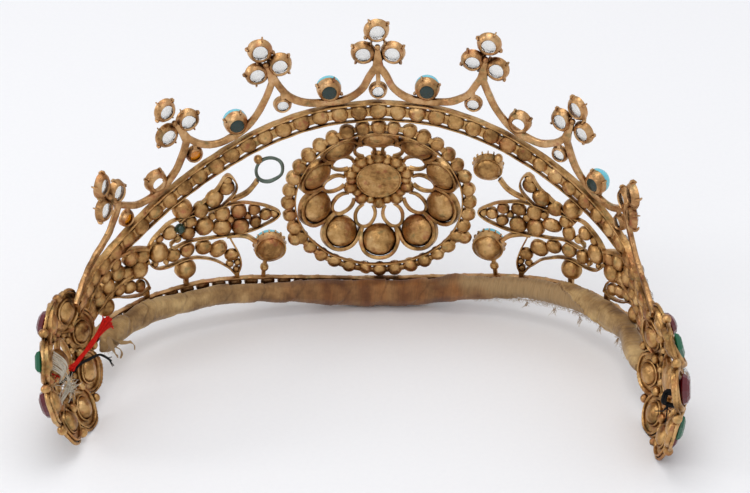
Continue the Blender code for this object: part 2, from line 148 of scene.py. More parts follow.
def turned(profile, sides, closed=False):
    """A shape turned about d from a profile of radius and depth: its points and faces."""
    radius, depth = np.array(profile, float).T
    angle = np.arange(sides) * math.tau / sides
    points = np.stack([np.outer(radius, np.cos(angle)), np.outer(radius, np.sin(angle)),
                       np.repeat(depth[:, None], sides, axis=1)], axis=-1).reshape(-1, 3)
    return points, quads(len(radius), sides, closed)


def swept(path, section, closed=False, up=(0, 0, 1), sizes=1.0):
    """A section, with its width across the path and its height along up, carried along a path."""
    path = np.array(path, float)
    if path.shape[1] == 2:
        path = np.pad(path, ((0, 0), (0, 1)))
    ways = np.roll(path, -1, 0) - np.roll(path, 1, 0) if closed else np.gradient(path, axis=0)
    ways /= np.linalg.norm(ways, axis=1)[:, None]
    across = np.cross(np.array(up, float), ways)
    across /= np.linalg.norm(across, axis=1)[:, None] + 1e-9
    raised = np.cross(ways, across)
    section = np.array(section, float)
    wide, tall = section[None, :, :1], section[None, :, 1:]
    sizes = np.broadcast_to(sizes, len(path))[:, None, None]
    points = path[:, None] + sizes * (wide * across[:, None] + tall * raised[:, None])
    return points.reshape(-1, 3), quads(len(path), len(section), closed)


def flat_strip(width, depth, edge=0.14):
    """The section of a strip with its corners rubbed round."""
    x, y = width / 2, depth / 2
    quarter = ((x, y - edge), (x - 0.3 * edge, y - 0.3 * edge), (x - edge, y))
    section = []
    for turn_x, turn_y, order in ((1, 1, 1), (-1, 1, -1), (-1, -1, 1), (1, -1, -1)):
        section += [(turn_x * px, turn_y * py) for px, py in quarter[::order]]
    return section


def circle(radius, sides=8):
    """Points round a circle: the section of a round wire, or the run of a ring."""
    angles = [math.tau * k / sides for k in range(sides)]
    return [(radius * math.cos(angle), radius * math.sin(angle)) for angle in angles]


def closed_collet(radius, deep=0.7, front=1.1, sides=18):
    """A closed setting: a bezel in front, an open seat in it, and a hammered round back."""
    wall = max(BEZEL_WALL_SHARE * radius, BEZEL_WALL_LEAST)
    seat = front - SEAT_DEEP
    shoulder = 1.02 * radius
    profile = [(AXIS_R, seat), (radius - wall, seat), (radius - wall, front - 0.1),
               (radius - 0.5 * wall, front), (radius, front - 0.15), (shoulder, 0.1)]
    for angle in np.radians(np.arange(15, 91, 15)):
        profile.append((max(shoulder * math.cos(angle), AXIS_R), 0.1 - deep * radius * math.sin(angle)))
    return turned(profile, sides)


def granule(radius, sides=10):
    """A small solid bead."""
    angles = np.radians(np.arange(-90, 91, 30))
    profile = [(max(radius * math.cos(angle), 0.02), radius * math.sin(angle)) for angle in angles]
    return turned(profile, sides)


def place(s, h, d=0.0, turn=None):
    """A placement on the unrolled wall."""
    spot = Matrix.Translation((s, h, d))
    return spot if turn is None else spot @ turn


class Soldered:
    """Shapes on the unrolled wall that are soldered to each other: one mesh, bent when it is made."""

    def __init__(self):
        self.points = []
        self.faces = []
        self.total = 0

    def add(self, shape, spot=None, mirror=1):
        """Adds a shape at its spot, or mirrored to the other side of the wall."""
        points, faces = shape
        if spot is not None:
            spot = np.array(spot)
            points = points @ spot[:3, :3].T + spot[:3, 3]
        self.points.append(points * (mirror, 1, 1))
        self.faces += [[corner + self.total for corner in face] for face in faces]
        self.total += len(points)

    def shape(self):
        """What is soldered so far, as one shape."""
        return np.concatenate(self.points), self.faces

    def make(self, name, finish, slot, nodes=(), lean=WALL_LEAN, hand=0.05, rounded=True):
        """The piece itself, bent to the wall. It strays by hand, and a cut stone isn't rounded."""
        points, faces = self.shape()
        points = points + hand * np.sin(points @ STRAY_WAYS.T + STRAY_STARTS)
        mesh = bpy.data.meshes.new(name)
        mesh.from_pydata(points.tolist(), [], faces)
        shell = bmesh.new()
        shell.from_mesh(mesh)
        bmesh.ops.recalc_face_normals(shell, faces=shell.faces)
        shell.to_mesh(mesh)
        shell.free()
        bent = bend(points, lean)
        # Nothing reaches below the surface that the tiara stands on.
        bent[:, 2] = np.maximum(bent[:, 2], FLOOR_CLEAR * MM)
        mesh.vertices.foreach_set("co", bent.astype(np.float32).ravel())
        if rounded:
            mesh.shade_smooth()
            mesh.set_sharp_from_angle(angle=SHARP_ABOVE)
        mesh.materials.append(finish)
        obj = bpy.data.objects.new(name, mesh)
        bpy.context.scene.collection.objects.link(obj)
        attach(obj, "root")
        if nodes:
            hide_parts(*nodes)
        return obj


def linear(colour):
    """A colour given as an sRGB hex value, as a shader takes it."""
    parts = [int(colour[k:k + 2], 16) / 255 for k in (1, 3, 5)]
    return (*(p / 12.92 if p <= 0.04045 else ((p + 0.055) / 1.055) ** 2.4 for p in parts), 1)


def per_metre(millimetres):
    """How many marks of this size fit in a metre, as the noise textures are scaled."""
    return 1 / (millimetres * MM)


def add_node(material, kind, settings=None, links=None):
    """Adds a shader node with its settings and with what feeds its sockets."""
    node = material.node_tree.nodes.new("ShaderNode" + kind)
    for name, value in (settings or {}).items():
        if isinstance(name, str) and hasattr(node, name):
            setattr(node, name, value)
        else:
            node.inputs[name].default_value = value
    for name, source in (links or {}).items():
        material.node_tree.links.new(source, node.inputs[name])
    return node


def new_material(name):
    """A material with its shader, and the place on the object in metres."""
    material = bpy.data.materials.new(name)
    material.use_nodes = True
    shader = material.node_tree.nodes["Principled BSDF"]
    position = add_node(material, "TexCoord").outputs["Object"]
    return material, shader, position


def feed(material, shader, sockets):
    """Links what varies over the surface to the shader."""
    for name, source in sockets.items():
        material.node_tree.links.new(source, shader.inputs[name])


def gilt(name, light, mid, dark, copper_share):
    """Old fire gilding over brass: satin, brown where it has dulled, coppery where rubbed, with painted shade
    where pieces meet.
    """
    material, shader, position = new_material(name)
    # The gilding is dulled in clouds of about 5 mm and rubbed through to the copper in patches of 8 mm.
    dulled = add_node(material, "TexNoise", {"Scale": per_metre(5), "Detail": 6.0, "Roughness": 0.65},
                      {"Vector": position})
    tone = add_node(material, "ValToRGB", links={"Fac": dulled.outputs["Fac"]})
    tone.color_ramp.elements.new(0.5)
    for stop, part, colour in zip(tone.color_ramp.elements, (0.36, 0.5, 0.66), (dark, mid, light)):
        stop.position = part
        stop.color = linear(colour)
    rubbed = add_node(material, "TexNoise", {"Scale": per_metre(8), "Detail": 3.0, "Distortion": 0.6},
                      {"Vector": position})
    patch = add_node(material, "MapRange", {"From Min": 0.56, "From Max": 0.7, "To Max": copper_share},
                     {"Value": rubbed.outputs["Fac"]})
    coppery = add_node(material, "Mix", {"data_type": "RGBA", MIX_SECOND: linear("#B4714A")},
                       {MIX_SHARE: patch.outputs["Result"], MIX_FIRST: tone.outputs["Color"]})
    # Specks 1 to 2 mm across lie about 2.4 mm apart: red from old wax, green from verdigris.
    specks = add_node(material, "TexNoise", {"Scale": per_metre(2.381), "Detail": 3.0}, {"Vector": position})
    waxed = add_node(material, "MapRange", {"From Min": 0.6, "From Max": 0.7, "To Max": 0.5},
                     {"Value": specks.outputs["Fac"]})
    reddened = add_node(material, "Mix", {"data_type": "RGBA", MIX_SECOND: linear("#9C5240")},
                        {MIX_SHARE: waxed.outputs["Result"], MIX_FIRST: coppery.outputs[MIXED]})
    green = add_node(material, "MapRange", {"From Min": 0.4, "From Max": 0.3, "To Max": 0.45},
                     {"Value": specks.outputs["Fac"]})
    greened = add_node(material, "Mix", {"data_type": "RGBA", MIX_SECOND: linear("#6E7350")},
                       {MIX_SHARE: green.outputs["Result"], MIX_FIRST: reddened.outputs[MIXED]})
    # Painted shade: the colour darkens to deep brown where two pieces meet, within about 1.6 mm, by
    # occlusion.
    crevice = add_node(material, "AmbientOcclusion", {"Distance": 1.6 * MM, "samples": 6})
    crevice_shade = add_node(material, "MapRange",
                     {"From Min": 0.25, "From Max": 0.85, "To Min": 0.85, "To Max": 0.0},
                     {"Value": crevice.outputs["AO"]})
    colour = add_node(material, "Mix", {"data_type": "RGBA", MIX_SECOND: linear("#4A2A14")},
                      {MIX_SHARE: crevice_shade.outputs["Result"], MIX_FIRST: greened.outputs[MIXED]})
    # File and burnishing marks are about 0.9 mm apart, and hammer dents 1.6 mm and half as deep again.
    marks = add_node(material, "TexNoise", {"Scale": per_metre(0.909), "Detail": 4.0}, {"Vector": position})
    dents = add_node(material, "TexNoise", {"Scale": per_metre(1.613), "Detail": 1.0}, {"Vector": position})
    rough = add_node(material, "MapRange", {"From Min": 0.3, "From Max": 0.7, "To Min": 0.27, "To Max": 0.5},
                     {"Value": marks.outputs["Fac"]})
    height = add_node(material, "Math", {"operation": "MULTIPLY_ADD", 1: 1.5},
                      {0: dents.outputs["Fac"], 2: marks.outputs["Fac"]})
    bump = add_node(material, "Bump", {"Strength": 0.65, "Distance": 0.24 * MM},
                    {"Height": height.outputs["Value"]})
    shader.inputs["Metallic"].default_value = 1.0
    feed(material, shader, {"Base Color": colour.outputs[MIXED], "Roughness": rough.outputs["Result"],
                            "Normal": bump.outputs["Normal"]})
    return material


GILT_BRASS = gilt("gilt_brass_dulled", "#DDB57E", "#BE935C", "#86623A", 0.5)
GILT_STRIP = gilt("gilt_brass_strip_rubbed", "#D9B283", "#BE9262", "#8A6540", 0.4)


def rail_top(s):
    """Height of the base rail's upper edge: it rises to the sides and runs level into the rosettes."""
    part = np.minimum(np.abs(s) / RAIL_RISE_AT, 1)
    return RAIL_TOP + RAIL_RISE * (2 - part * part) * part * part


rail = Soldered()
stations = np.linspace(-RAIL_REACH[-1], RAIL_REACH[1], RAIL_STATIONS)
for below in RAIL_STRIPS_BELOW:
    edge_line = np.stack([stations, rail_top(stations) - below], 1)
    rail.add(swept(edge_line, flat_strip(*RAIL_STRIP)), place(0, 0, -RAIL_STRIPS_IN))
for s in np.arange(*RAIL_ROW, RAIL_PITCH):
    collet = closed_collet(RAIL_COLLET_R, deep=0.6, front=0.9, sides=14)
    rail.add(collet, place(s, rail_top(s) - RAIL_COLLETS_BELOW))
rail.make("base_rail_pierced", GILT_STRIP, "gilt_brass", ["base_rail"])


# Ribbon roll
# A padded roll wound with tan silk ribbon and sewn inside the base rail, where it lies on the hair.
# On the right of the photograph the ribbon has worn through to a paler, frayed under-cloth.

ROLL_THICK = 4.4
ROLL_TALL = 7.9
ROLL_ENDS = (-89.0, 81.5)
ROLL_BEHIND_RAIL = 1.2
ROLL_OVER_RAIL = 0.3
ROLL_RISE_SHARE = 0.72
ROLL_SLIM = 2.4
ROLL_SLIM_FROM, ROLL_SLIM_OVER = 2.5, 32.0
ROLL_LEAN = 0.42
ROLL_END_ROUND = 3.0
ROLL_STEP = 0.25
ROLL_SIDES = 56

# At the right end it is pulled up and out, into the rosette, and on the left the ribbon has slipped.
PULLED_FROM, PULLED_OVER = 60.0, 16.0
PULLED_UP, PULLED_OUT = 1.3, 1.0
BUNCHED_FROM, BUNCHED_OVER, BUNCHED_UP = 10.0, 10.0, 1.2
SLIPPED_FROM, SLIPPED_TO, SLIPPED_OVER, SLIPPED_DOWN = 16.0, 60.0, 10.0, 1.35

LAP_PITCH = 10.5
LAP_RISE = 0.34
PLEAT_RISE = 0.05
SAG_RISE = 0.24
FUZZ_RISE = 0.14
WORN_FROM, WORN_TO = -20.0, -57.0
WORN_DEEP = 0.55
TORN_LIP = 0.5
# Where each crease runs, how far it slants, how deep it is and its half width.
CREASES = ((66.0, 3.0, 0.3, 0.5), (71.5, 2.0, 0.25, 0.4))

# Loose silk: from where to where along the roll, and how many fibres.
FRAYS = ((-60, -24, 330), (-84, -58, 150), (74, 81, 40))
# Where each tuft hangs, and how far.
TUFTS = ((-47.0, 1.9), (-55.5, 2.3), (-71.5, 2.2), (-39.0, 1.0), (-63.0, 1.4))
# The ribbon's curled end at the left: each tail's width and its run.
CURLED_END = (
    (1.5, ((80.5, 3.2, -4.5), (79.0, 1.5, -6.5), (76.8, 0.6, -7.8), (75.2, 0.2, -8.2), (74.4, -1.0, -8.8),
           (74.9, -2.0, -9.0))),
    (1.9, ((81.0, 2.2, -4.5), (80.2, 0.6, -6.0), (79.2, -0.5, -7.0), (78.8, -1.9, -7.2), (79.6, -2.9, -7.0))),
    (2.2, ((81.3, 3.4, -5.0), (82.4, 1.4, -6.0), (81.8, -0.8, -6.6), (80.6, -1.9, -6.8))),
)
# The loose silk's wear, its soiling and a little painted shade.
FRAY_STATE = (0.7, 0.0, 0.1)


def ease(part):
    """From 0 to 1 with a level start and end."""
    part = np.clip(part, 0, 1)
    return part * part * (3 - 2 * part)


def waves(*parts):
    """Soft irregular waves between -1 and 1 from several wavelengths."""
    return sum(np.sin(p) for p in parts) / len(parts)


def roll_centre(s):
    """Middle of the roll's section as d and h, with its half thickness and half height."""
    rise = ROLL_RISE_SHARE * (rail_top(s) - RAIL_TOP)
    back = -ROLL_BEHIND_RAIL - math.sin(WALL_LEAN) * (ROLL_TALL + FLOOR_H + rise)
    slim = ROLL_SLIM * ease((np.abs(s) - ROLL_SLIM_FROM) / ROLL_SLIM_OVER)
    pulled = ease((-s - PULLED_FROM) / PULLED_OVER)
    bunched = BUNCHED_UP * ease((-s - BUNCHED_FROM) / BUNCHED_OVER)
    slipped = SLIPPED_DOWN * ease((s - SLIPPED_FROM) / SLIPPED_OVER) * ease((SLIPPED_TO - s) / SLIPPED_OVER)
    low = FLOOR_H + rise + slim + PULLED_UP * pulled
    high = rail_top(s) + ROLL_OVER_RAIL - slipped + bunched
    end = 1 - 0.5 * ease(1 - np.minimum(s - ROLL_ENDS[0], ROLL_ENDS[1] - s) / ROLL_END_ROUND)
    return (back - ROLL_THICK / 2 + PULLED_OUT * pulled, (low + high) / 2,
            ROLL_THICK / 2 * end, (high - low) / 2 * end)


def silk_ribbon():
    """Plain-woven silk ribbon, soiled and rubbed: a dull sheen, darker stains and pale worn cloth."""
    material, shader, position = new_material("silk_ribbon_woven")
    state = add_node(material, "Attribute", {"attribute_name": "state"}).outputs["Vector"]
    worn, soiled, shaded = add_node(material, "SeparateXYZ", links={"Vector": state}).outputs
    along = add_node(material, "Attribute", {"attribute_name": "weave"}).outputs["Vector"]
    # Stains spread over about 7 mm.
    stains = add_node(material, "TexNoise", {"Scale": per_metre(6.667), "Detail": 7.0, "Roughness": 0.62},
                      {"Vector": position})
    tone = add_node(material, "ValToRGB", links={"Fac": stains.outputs["Fac"]})
    tone.color_ramp.elements.new(0.5)
    silks = ("#7A5B36", "#A18051", "#C2A26E")
    for stop, part, colour in zip(tone.color_ramp.elements, (0.36, 0.5, 0.64), silks):
        stop.position = part
        stop.color = linear(colour)
    # The real threads lie 0.12 mm apart, too fine to show here, so they are drawn every 0.3 mm.
    threads = add_node(material, "TexNoise", {"Scale": 1.0, "Detail": 2.0}, {"Vector": along})
    darkens = {"data_type": "RGBA", "blend_type": "MULTIPLY"}
    browned = add_node(material, "Mix", {**darkens, MIX_SECOND: linear("#C49468")},
                       {MIX_SHARE: soiled, MIX_FIRST: tone.outputs["Color"]})
    faded = add_node(material, "Mix", {"data_type": "RGBA", MIX_SECOND: linear("#A5865C")},
                     {MIX_SHARE: worn, MIX_FIRST: browned.outputs[MIXED]})
    # Painted shade darkens the silk at each lap's edge, in the creases and along the torn edge.
    painted_silk_shade = add_node(material, "Mix", {**darkens, MIX_SECOND: linear("#8E7048")},
                      {MIX_SHARE: shaded, MIX_FIRST: faded.outputs[MIXED]})
    ribbed = add_node(material, "MapRange",
                      {"From Min": 0.3, "From Max": 0.7, "To Min": 0.86, "To Max": 1.12},
                      {"Value": threads.outputs["Fac"]})
    colour = add_node(material, "Mix", {**darkens, MIX_SHARE: 1.0},
                      {MIX_FIRST: painted_silk_shade.outputs[MIXED], MIX_SECOND: ribbed.outputs["Result"]})
    height = add_node(material, "Math", {"operation": "MULTIPLY_ADD", 1: 0.5},
                      {0: threads.outputs["Fac"], 2: stains.outputs["Fac"]})
    bump = add_node(material, "Bump", {"Strength": 0.6, "Distance": 0.4 * MM},
                    {"Height": height.outputs["Value"]})
    shader.inputs["Roughness"].default_value = 0.78
    shader.inputs["Sheen Weight"].default_value = 0.2
    shader.inputs["Sheen Roughness"].default_value = 0.4
    feed(material, shader, {"Base Color": colour.outputs[MIXED], "Normal": bump.outputs["Normal"]})
    return material


SILK = silk_ribbon()


def wound_roll():
    """The roll with its ribbon wound round it in slanting laps, each lap standing on the one before."""
    s = np.arange(ROLL_ENDS[0], ROLL_ENDS[1] + 0.1, ROLL_STEP)[:, None]
    turn = np.arange(ROLL_SIDES)[None] * math.tau / ROLL_SIDES
    d_mid, h_mid, half_d, half_h = roll_centre(s)
    cosine, sine = np.cos(turn), np.sin(turn)
    # The outer ribbon is torn off from the middle to the right, where it stops at a frayed edge.
    torn = WORN_TO + 9 * sine + 0.9 * waves(5 * turn, 9 * turn + 1)
    worn = ease((WORN_FROM - s + 6 * sine - 3 * waves(2 * turn, 0.9 * s)) / 12) * ease((s - torn) / 0.6)
    lip = TORN_LIP * ease(1 - np.abs(s - torn + 1.2) / 1.4)
    lap = (s + 2.6 * sine + 0.5 * waves(2.1 * turn + 1, 0.4 * s)) / LAP_PITCH + 0.12 * np.sin(0.21 * s)
    step = lap - np.floor(lap)
    raised = LAP_RISE * (1 - step) * ease(step * 30) * (1 - 0.85 * worn)
    pleats = PLEAT_RISE * waves(5.3 * s + 3 * sine, 2.9 * s - 5 * turn, 9.1 * s) * (1 - 0.5 * worn)
    sag = SAG_RISE * waves(0.31 * s + turn, 0.83 * s - 2 * turn, 0.53 * s)
    fuzz = FUZZ_RISE * worn * waves(3.3 * s + 4 * turn, 7.7 * s - 3 * turn, 5.1 * s)
    crease = sum(deep * ease(1 - np.abs(s - at + slant * sine) / half) for at, slant, deep, half in CREASES)
    grow = raised + pleats + sag + fuzz - crease - WORN_DEEP * worn + lip
    # Its upper half is boxed out against the rail, and its underside is squashed outwards, under it.
    boxed = np.where(sine > 0, 0.6, 1.0)
    d = d_mid + (half_d + grow) * np.sign(cosine) * np.abs(cosine) ** boxed
    h = h_mid + (half_h + grow) * np.sign(sine) * np.abs(sine) ** boxed
    d = d + ROLL_LEAN * np.maximum(h_mid - h, 0)
    points = np.stack([np.broadcast_to(s, d.shape), h, d], axis=-1).reshape(-1, 3)
    # Weave coordinates: fine across the ribbon's length and slow along it.
    weave = np.stack([s * 3.3 + 1.4 * sine, 0.8 * turn + 0 * s, 0 * d], axis=-1)
    soiled = ease(1.25 - np.abs(s + 4) / 46) * (0.85 + 0.15 * waves(0.6 * s, 1.3 * s + turn))
    # Painted shade: a dark line just behind each lap's step edge, darkening in the creases, and a painted
    # shadow along the torn edge.
    lap_shade = 0.35 * ease(1 - np.abs(step - 0.98) / 0.05) * (1 - worn)
    shaded = np.maximum(lap_shade, 0.5 * crease / CREASES[0][2])
    shaded = np.maximum(shaded, ease(1 - np.abs(s - torn + 0.1) / 0.5))
    state = np.stack([worn, soiled, 0.8 * shaded], axis=-1)
    return (points, quads(len(s), ROLL_SIDES, False)), state.reshape(-1, 3), weave.reshape(-1, 3)


def strand(points, radius, sides=5, step=0.6, taper=0.5):
    """A loose thread or fibre through some points, thinner at its end."""
    path = smooth(points, step)
    return swept(path, circle(radius, sides), up=(0.3, 0.5, 0.8), sizes=np.linspace(1, taper, len(path)))


def paint(obj, state, weave):
    """Gives a piece of silk its wear, soiling and painted shade, and the run of its threads."""
    for name, values in (("state", state), ("weave", weave)):
        layer = obj.data.attributes.new(name, "FLOAT_VECTOR", "POINT")
        layer.data.foreach_set("vector", values.astype(np.float32).ravel())


roll = Soldered()
shape, state, weave = wound_roll()
roll.add(shape)
ribbon_roll = roll.make("ribbon_roll_wound", SILK, "silk_ribbon", ["ribbon_roll"], lean=0.0, hand=0.0)
paint(ribbon_roll, state, weave)

chance = np.random.default_rng(3)
frays = Soldered()
for s in np.concatenate([chance.uniform(*stretch) for stretch in FRAYS]):
    d_mid, h_mid, half_d, half_h = (float(v) for v in roll_centre(np.array(s)))
    turn = chance.uniform(math.radians(195), math.radians(262))
    h = h_mid + half_h * 0.93 * math.sin(turn)
    start = np.array([s, h, d_mid + 0.93 * half_d * math.cos(turn) + ROLL_LEAN * (h_mid - h)])
    out = np.array([chance.normal(0, 0.8), 0.7 * math.sin(turn), 1.1 * math.cos(turn)])
    out = out * chance.uniform(0.3, 1.3)
    drift = chance.normal(0, 0.3, 3)
    frays.add(strand([start, start + 0.5 * out + drift, start + out], 0.05, 4, 0.4, 0.3))
for s, hang in TUFTS:
    d_mid, h_mid, half_d, half_h = (float(v) for v in roll_centre(np.array(s)))
    start = np.array([s, h_mid - 0.8 * half_h, d_mid - 0.5 * half_d])
    for _ in range(9):
        end = start + (chance.normal(0, 0.5), -hang * chance.uniform(0.5, 1.1), -0.5 + chance.normal(0, 0.3))
        middle = (start + end) / 2 + chance.normal(0, 0.25, 3)
        frays.add(strand([start + chance.normal(0, 0.3, 3), middle, end], 0.07, 5, 0.4, 0.4))
for width, tail in CURLED_END:
    path = smooth(tail, 0.5)
    narrowing = np.linspace(1.1, 0.35, len(path))
    frays.add(swept(path, flat_strip(width, 0.32, edge=0.1), up=(0.7, 0.3, 0.6), sizes=narrowing))
frays_made = frays.make("ribbon_roll_frays", SILK, "silk_ribbon", lean=0.0, hand=0.0)
count = len(frays_made.data.vertices)
paint(frays_made, np.tile(FRAY_STATE, (count, 1)), np.zeros((count, 3)))


# Arch rail
# The curved upper rail: closed collets in a row between two strips on edge, all gilt brass. Hammered
# round backs face the head, and a paste stone sits in each bezel in front.

ARCH_LINE = (
    (0, 50.0), (14.3, 48.4), (28, 44.0), (41, 37.6), (53.5, 30.6), (65.6, 23.9), (76, 20.2), (92.5, 18.4),
)
ARCH_PITCH = 4.81
ARCH_COLLETS = 20
ARCH_COLLET_R = 2.34
ARCH_ROW_OUT = 0.05
# How far to the side each strip runs, and its width and depth.
ARCH_STRIPS = ((2.45, (0.5, 1.9)), (-2.45, (0.42, 1.1)))
ARCH_SOLDER = (2.5, 0.7)
SOLDER_IN = 0.1
ARCH_STONE = (1.8, 1.7)
ARCH_STONE_OUT = 1.05


def offset(points, distance):
    """The line moved sideways, to its left."""
    ways = np.gradient(points, axis=0)
    ways /= np.linalg.norm(ways, axis=1)[:, None]
    return points + distance * np.stack([-ways[:, 1], ways[:, 0]], axis=1)


def places_along(points, pitch, count):
    """The first count places at one pitch along a smooth line."""
    line = smooth(points, 0.25)
    run = np.concatenate([[0], np.cumsum(np.linalg.norm(np.diff(line, axis=0), axis=1))])
    at = pitch * np.arange(count)
    return list(zip(np.interp(at, run, line[:, 0]), np.interp(at, run, line[:, 1])))


def tilted(chance, degrees=7):
    """A small lean of a hand-set collet."""
    lean_s, lean_h = chance.normal(0, math.radians(degrees), 2)
    return Matrix.Rotation(lean_s, 4, "X") @ Matrix.Rotation(lean_h, 4, "Y")


def cut_paste(radius, tall, sides=8, back=0.2):
    """A paste stone with a table, crown facets and a shallow cut back."""
    return turned(((0.56 * radius, 0.62 * tall), (0.86 * radius, 0.42 * tall), (radius, 0.08 * tall),
                   (0.97 * radius, 0), (0.6 * radius, -back * tall)), sides)


def paste(name, colour, through):
    """Cut lead glass over foil: hard bright facets and deep colour, uneven over about 3 mm."""
    material, shader, position = new_material(name)
    depth = add_node(material, "TexNoise", {"Scale": per_metre(3.333), "Detail": 2.0}, {"Vector": position})
    tone = add_node(material, "MapRange", {"To Min": 0.75, "To Max": 1.2}, {"Value": depth.outputs["Fac"]})
    tint = add_node(material, "Mix", {"data_type": "RGBA", "blend_type": "MULTIPLY", MIX_SHARE: 1.0,
                                      MIX_FIRST: linear(colour)}, {MIX_SECOND: tone.outputs["Result"]})
    shader.inputs["Roughness"].default_value = 0.06
    shader.inputs["IOR"].default_value = 1.6
    shader.inputs["Transmission Weight"].default_value = through
    feed(material, shader, {"Base Color": tint.outputs[MIXED]})
    return material


CLEAR_PASTE = paste("clear_paste_cut", "#F7F6F2", 0.9)
RED_PASTE = paste("red_paste_cut", "#5E0716", 0.1)
GREEN_PASTE = paste("green_paste_cut", "#08603F", 0.12)
GREEN_BACK = paste("green_paste_back_dulled", "#16382C", 0.0)
AMBER_PASTE = paste("amber_paste_cut", "#E8901C", 0.6)

chance = np.random.default_rng(7)
arch, arch_stones = Soldered(), Soldered()
half = smooth(ARCH_LINE, 1.6)
line = np.concatenate([half[:0:-1] * (-1, 1), half])
for sideways, strip in ARCH_STRIPS:
    arch.add(swept(offset(line, sideways), flat_strip(*strip)))
# Solder has run between the collets, so that light shows only in the corners above and below them.
arch.add(swept(line, flat_strip(*ARCH_SOLDER)), place(0, 0, -SOLDER_IN))
for number, (s, h) in enumerate(places_along(ARCH_LINE, ARCH_PITCH, ARCH_COLLETS + 1)):
    for side in (1, -1) if number else (1,):
        spot = place(side * s, h, ARCH_ROW_OUT, tilted(chance))
        radius = ARCH_COLLET_R * chance.uniform(0.95, 1.03)
        arch.add(closed_collet(radius, deep=chance.uniform(0.55, 0.75)), spot)
        arch_stones.add(cut_paste(*ARCH_STONE), spot @ place(0, 0, ARCH_STONE_OUT))
arch.make("arch_rail_collets", GILT_BRASS, "gilt_brass", ["arch_rail"])
arch_stones.make("arch_rail_stones", CLEAR_PASTE, "clear_glass", hand=0.0, rounded=False)


# Crest
# Three scallops of flat gilt strip a side, between forks, and a last strip down into each rosette.
# Open claw settings stand in the scallops, four with their turquoise, and open collets hang below.

CREST_STRIP = (1.75, 1.2)
CREST_OVERLAP = 0.04
FORKS = ((0.0, 63.2), (25.8, 60.5), (48.2, 47.0), (69.3, 35.0))
SCALLOPS = (
    ((0, 63.0), (2.0, 60), (4, 56.2), (7.5, 53.6), (12.3, 52.7), (18, 53), (22, 55), (24.2, 58),
     (25.6, 60.5)),
    ((25.8, 60.4), (27.3, 56), (30, 50.7), (33.2, 47), (37, 44.8), (41, 43.7), (45, 44.7), (48.2, 47)),
    ((48.2, 47), (50.2, 41), (53, 36.6), (57, 33.5), (62, 32.2), (66, 33.3), (69.3, 35)),
    ((68.9, 35.7), (71.3, 31), (73.8, 27.8), (78, 25.6), (83, 24.2), (87, 23.6), (91, 22.5), (94.6, 20.8)),
)
SCALLOP_SETTINGS = ((12.0, 55.9), (35.3, 48.5), (57.0, 36.7))
SCALLOP_SETTING_R = 3.1
# Where each collet hangs under its fork, and how long its post is.
UNDER_COLLETS = ((0.0, 55.6, 7.0), (23.5, 52.6, 4.0), (46.3, 41.7, 4.0), (66.3, 29.6, 4.0))
UNDER_COLLET_R = 2.35
UNDER_POST = (1.1, 0.9)
UNDER_STONE = (1.95, 1.1, 12)
UNDER_STONE_OUT = 0.4
AMBER_UNDER = ((1, 2), (1, 3))
TURQUOISES = {(1, 0): "turquoise_1", (1, 1): "turquoise_2", (-1, 0): "turquoise_3", (-1, 2): "turquoise_4"}

SETTING_WALL = 0.36
# A claw's run, as shares of the setting's radius and heights in front of it, and its sizes there.
CLAW_RUN = ((0.94, 0), (1.08, 0.35), (1.08, 0.8), (0.94, 1.3), (0.84, 1.45))
CLAW_SIZES = (1, 1, 0.9, 0.75, 0.6)
CLAW_STRIP = (0.75, 0.42)


def claw_setting(radius, claws=4, depth=1.7, hole=0.6, start=0.4):
    """An open-backed setting, tapered to the back, with its claws."""
    opening = hole * radius
    profile = ((opening, -0.5 * depth + 0.25), (opening + 0.3, -0.5 * depth), (0.8 * radius, -0.36 * depth),
               (0.95 * radius, 0), (radius, 0.5 * depth), (radius - SETTING_WALL, 0.5 * depth + 0.1),
               (0.9 * radius - SETTING_WALL, 0.05 * depth), (opening + 0.05, -0.3 * depth))
    setting = Soldered()
    setting.add(turned(profile, 22, closed=True))
    for k in range(claws):
        angle = start + math.tau * k / claws
        out = np.array([math.cos(angle), math.sin(angle), 0])
        path = np.array([out * r + (0, 0, z) for r, z in CLAW_RUN]) * (radius, radius, 1)
        setting.add(swept(path, flat_strip(*CLAW_STRIP), up=(-out[1], out[0], 0), sizes=CLAW_SIZES))
    return setting.shape()


crest, clear_drops, amber_drops = Soldered(), Soldered(), Soldered()
for side in (1, -1):
    for number, scallop in enumerate(SCALLOPS):
        strip = swept(smooth(scallop, 1.2), flat_strip(*CREST_STRIP, edge=0.3))
        crest.add(strip, place(0, 0, CREST_OVERLAP * number), mirror=side)
    for s, h in SCALLOP_SETTINGS:
        crest.add(claw_setting(SCALLOP_SETTING_R, claws=4, depth=2.2, hole=0.52), place(s, h), mirror=side)
    for number, (s, h, post) in enumerate(UNDER_COLLETS):
        if side < 0 and number == 0:
            continue
        crest.add(claw_setting(UNDER_COLLET_R, claws=0, depth=1.6), place(s, h), mirror=side)
        post_line = [(s, h + 0.85 * UNDER_COLLET_R), (s, h + 0.5 * post), (s, h + post)]
        crest.add(swept(post_line, flat_strip(*UNDER_POST)), mirror=side)
        drops = amber_drops if (side, number) in AMBER_UNDER else clear_drops
        drops.add(cut_paste(*UNDER_STONE), place(s, h, UNDER_STONE_OUT), mirror=side)
crest.make("crest_scallops", GILT_STRIP, "gilt_brass", ["crest"])

# A turquoise's rings from back to front: radius, depth, and how blue it is there, the rest being painted
# shade.
CABOCHON = (
    (0.03, -1.2, 0), (1.5, -1.15, 0), (2.3, -0.6, 0), (2.75, 0.2, 0.1), (3.1, 1.5, 1), (2.95, 2.3, 1),
    (2.3, 3.1, 1), (1.3, 3.6, 1), (0.03, 3.8, 1),
)
CABOCHON_SIDES = 28


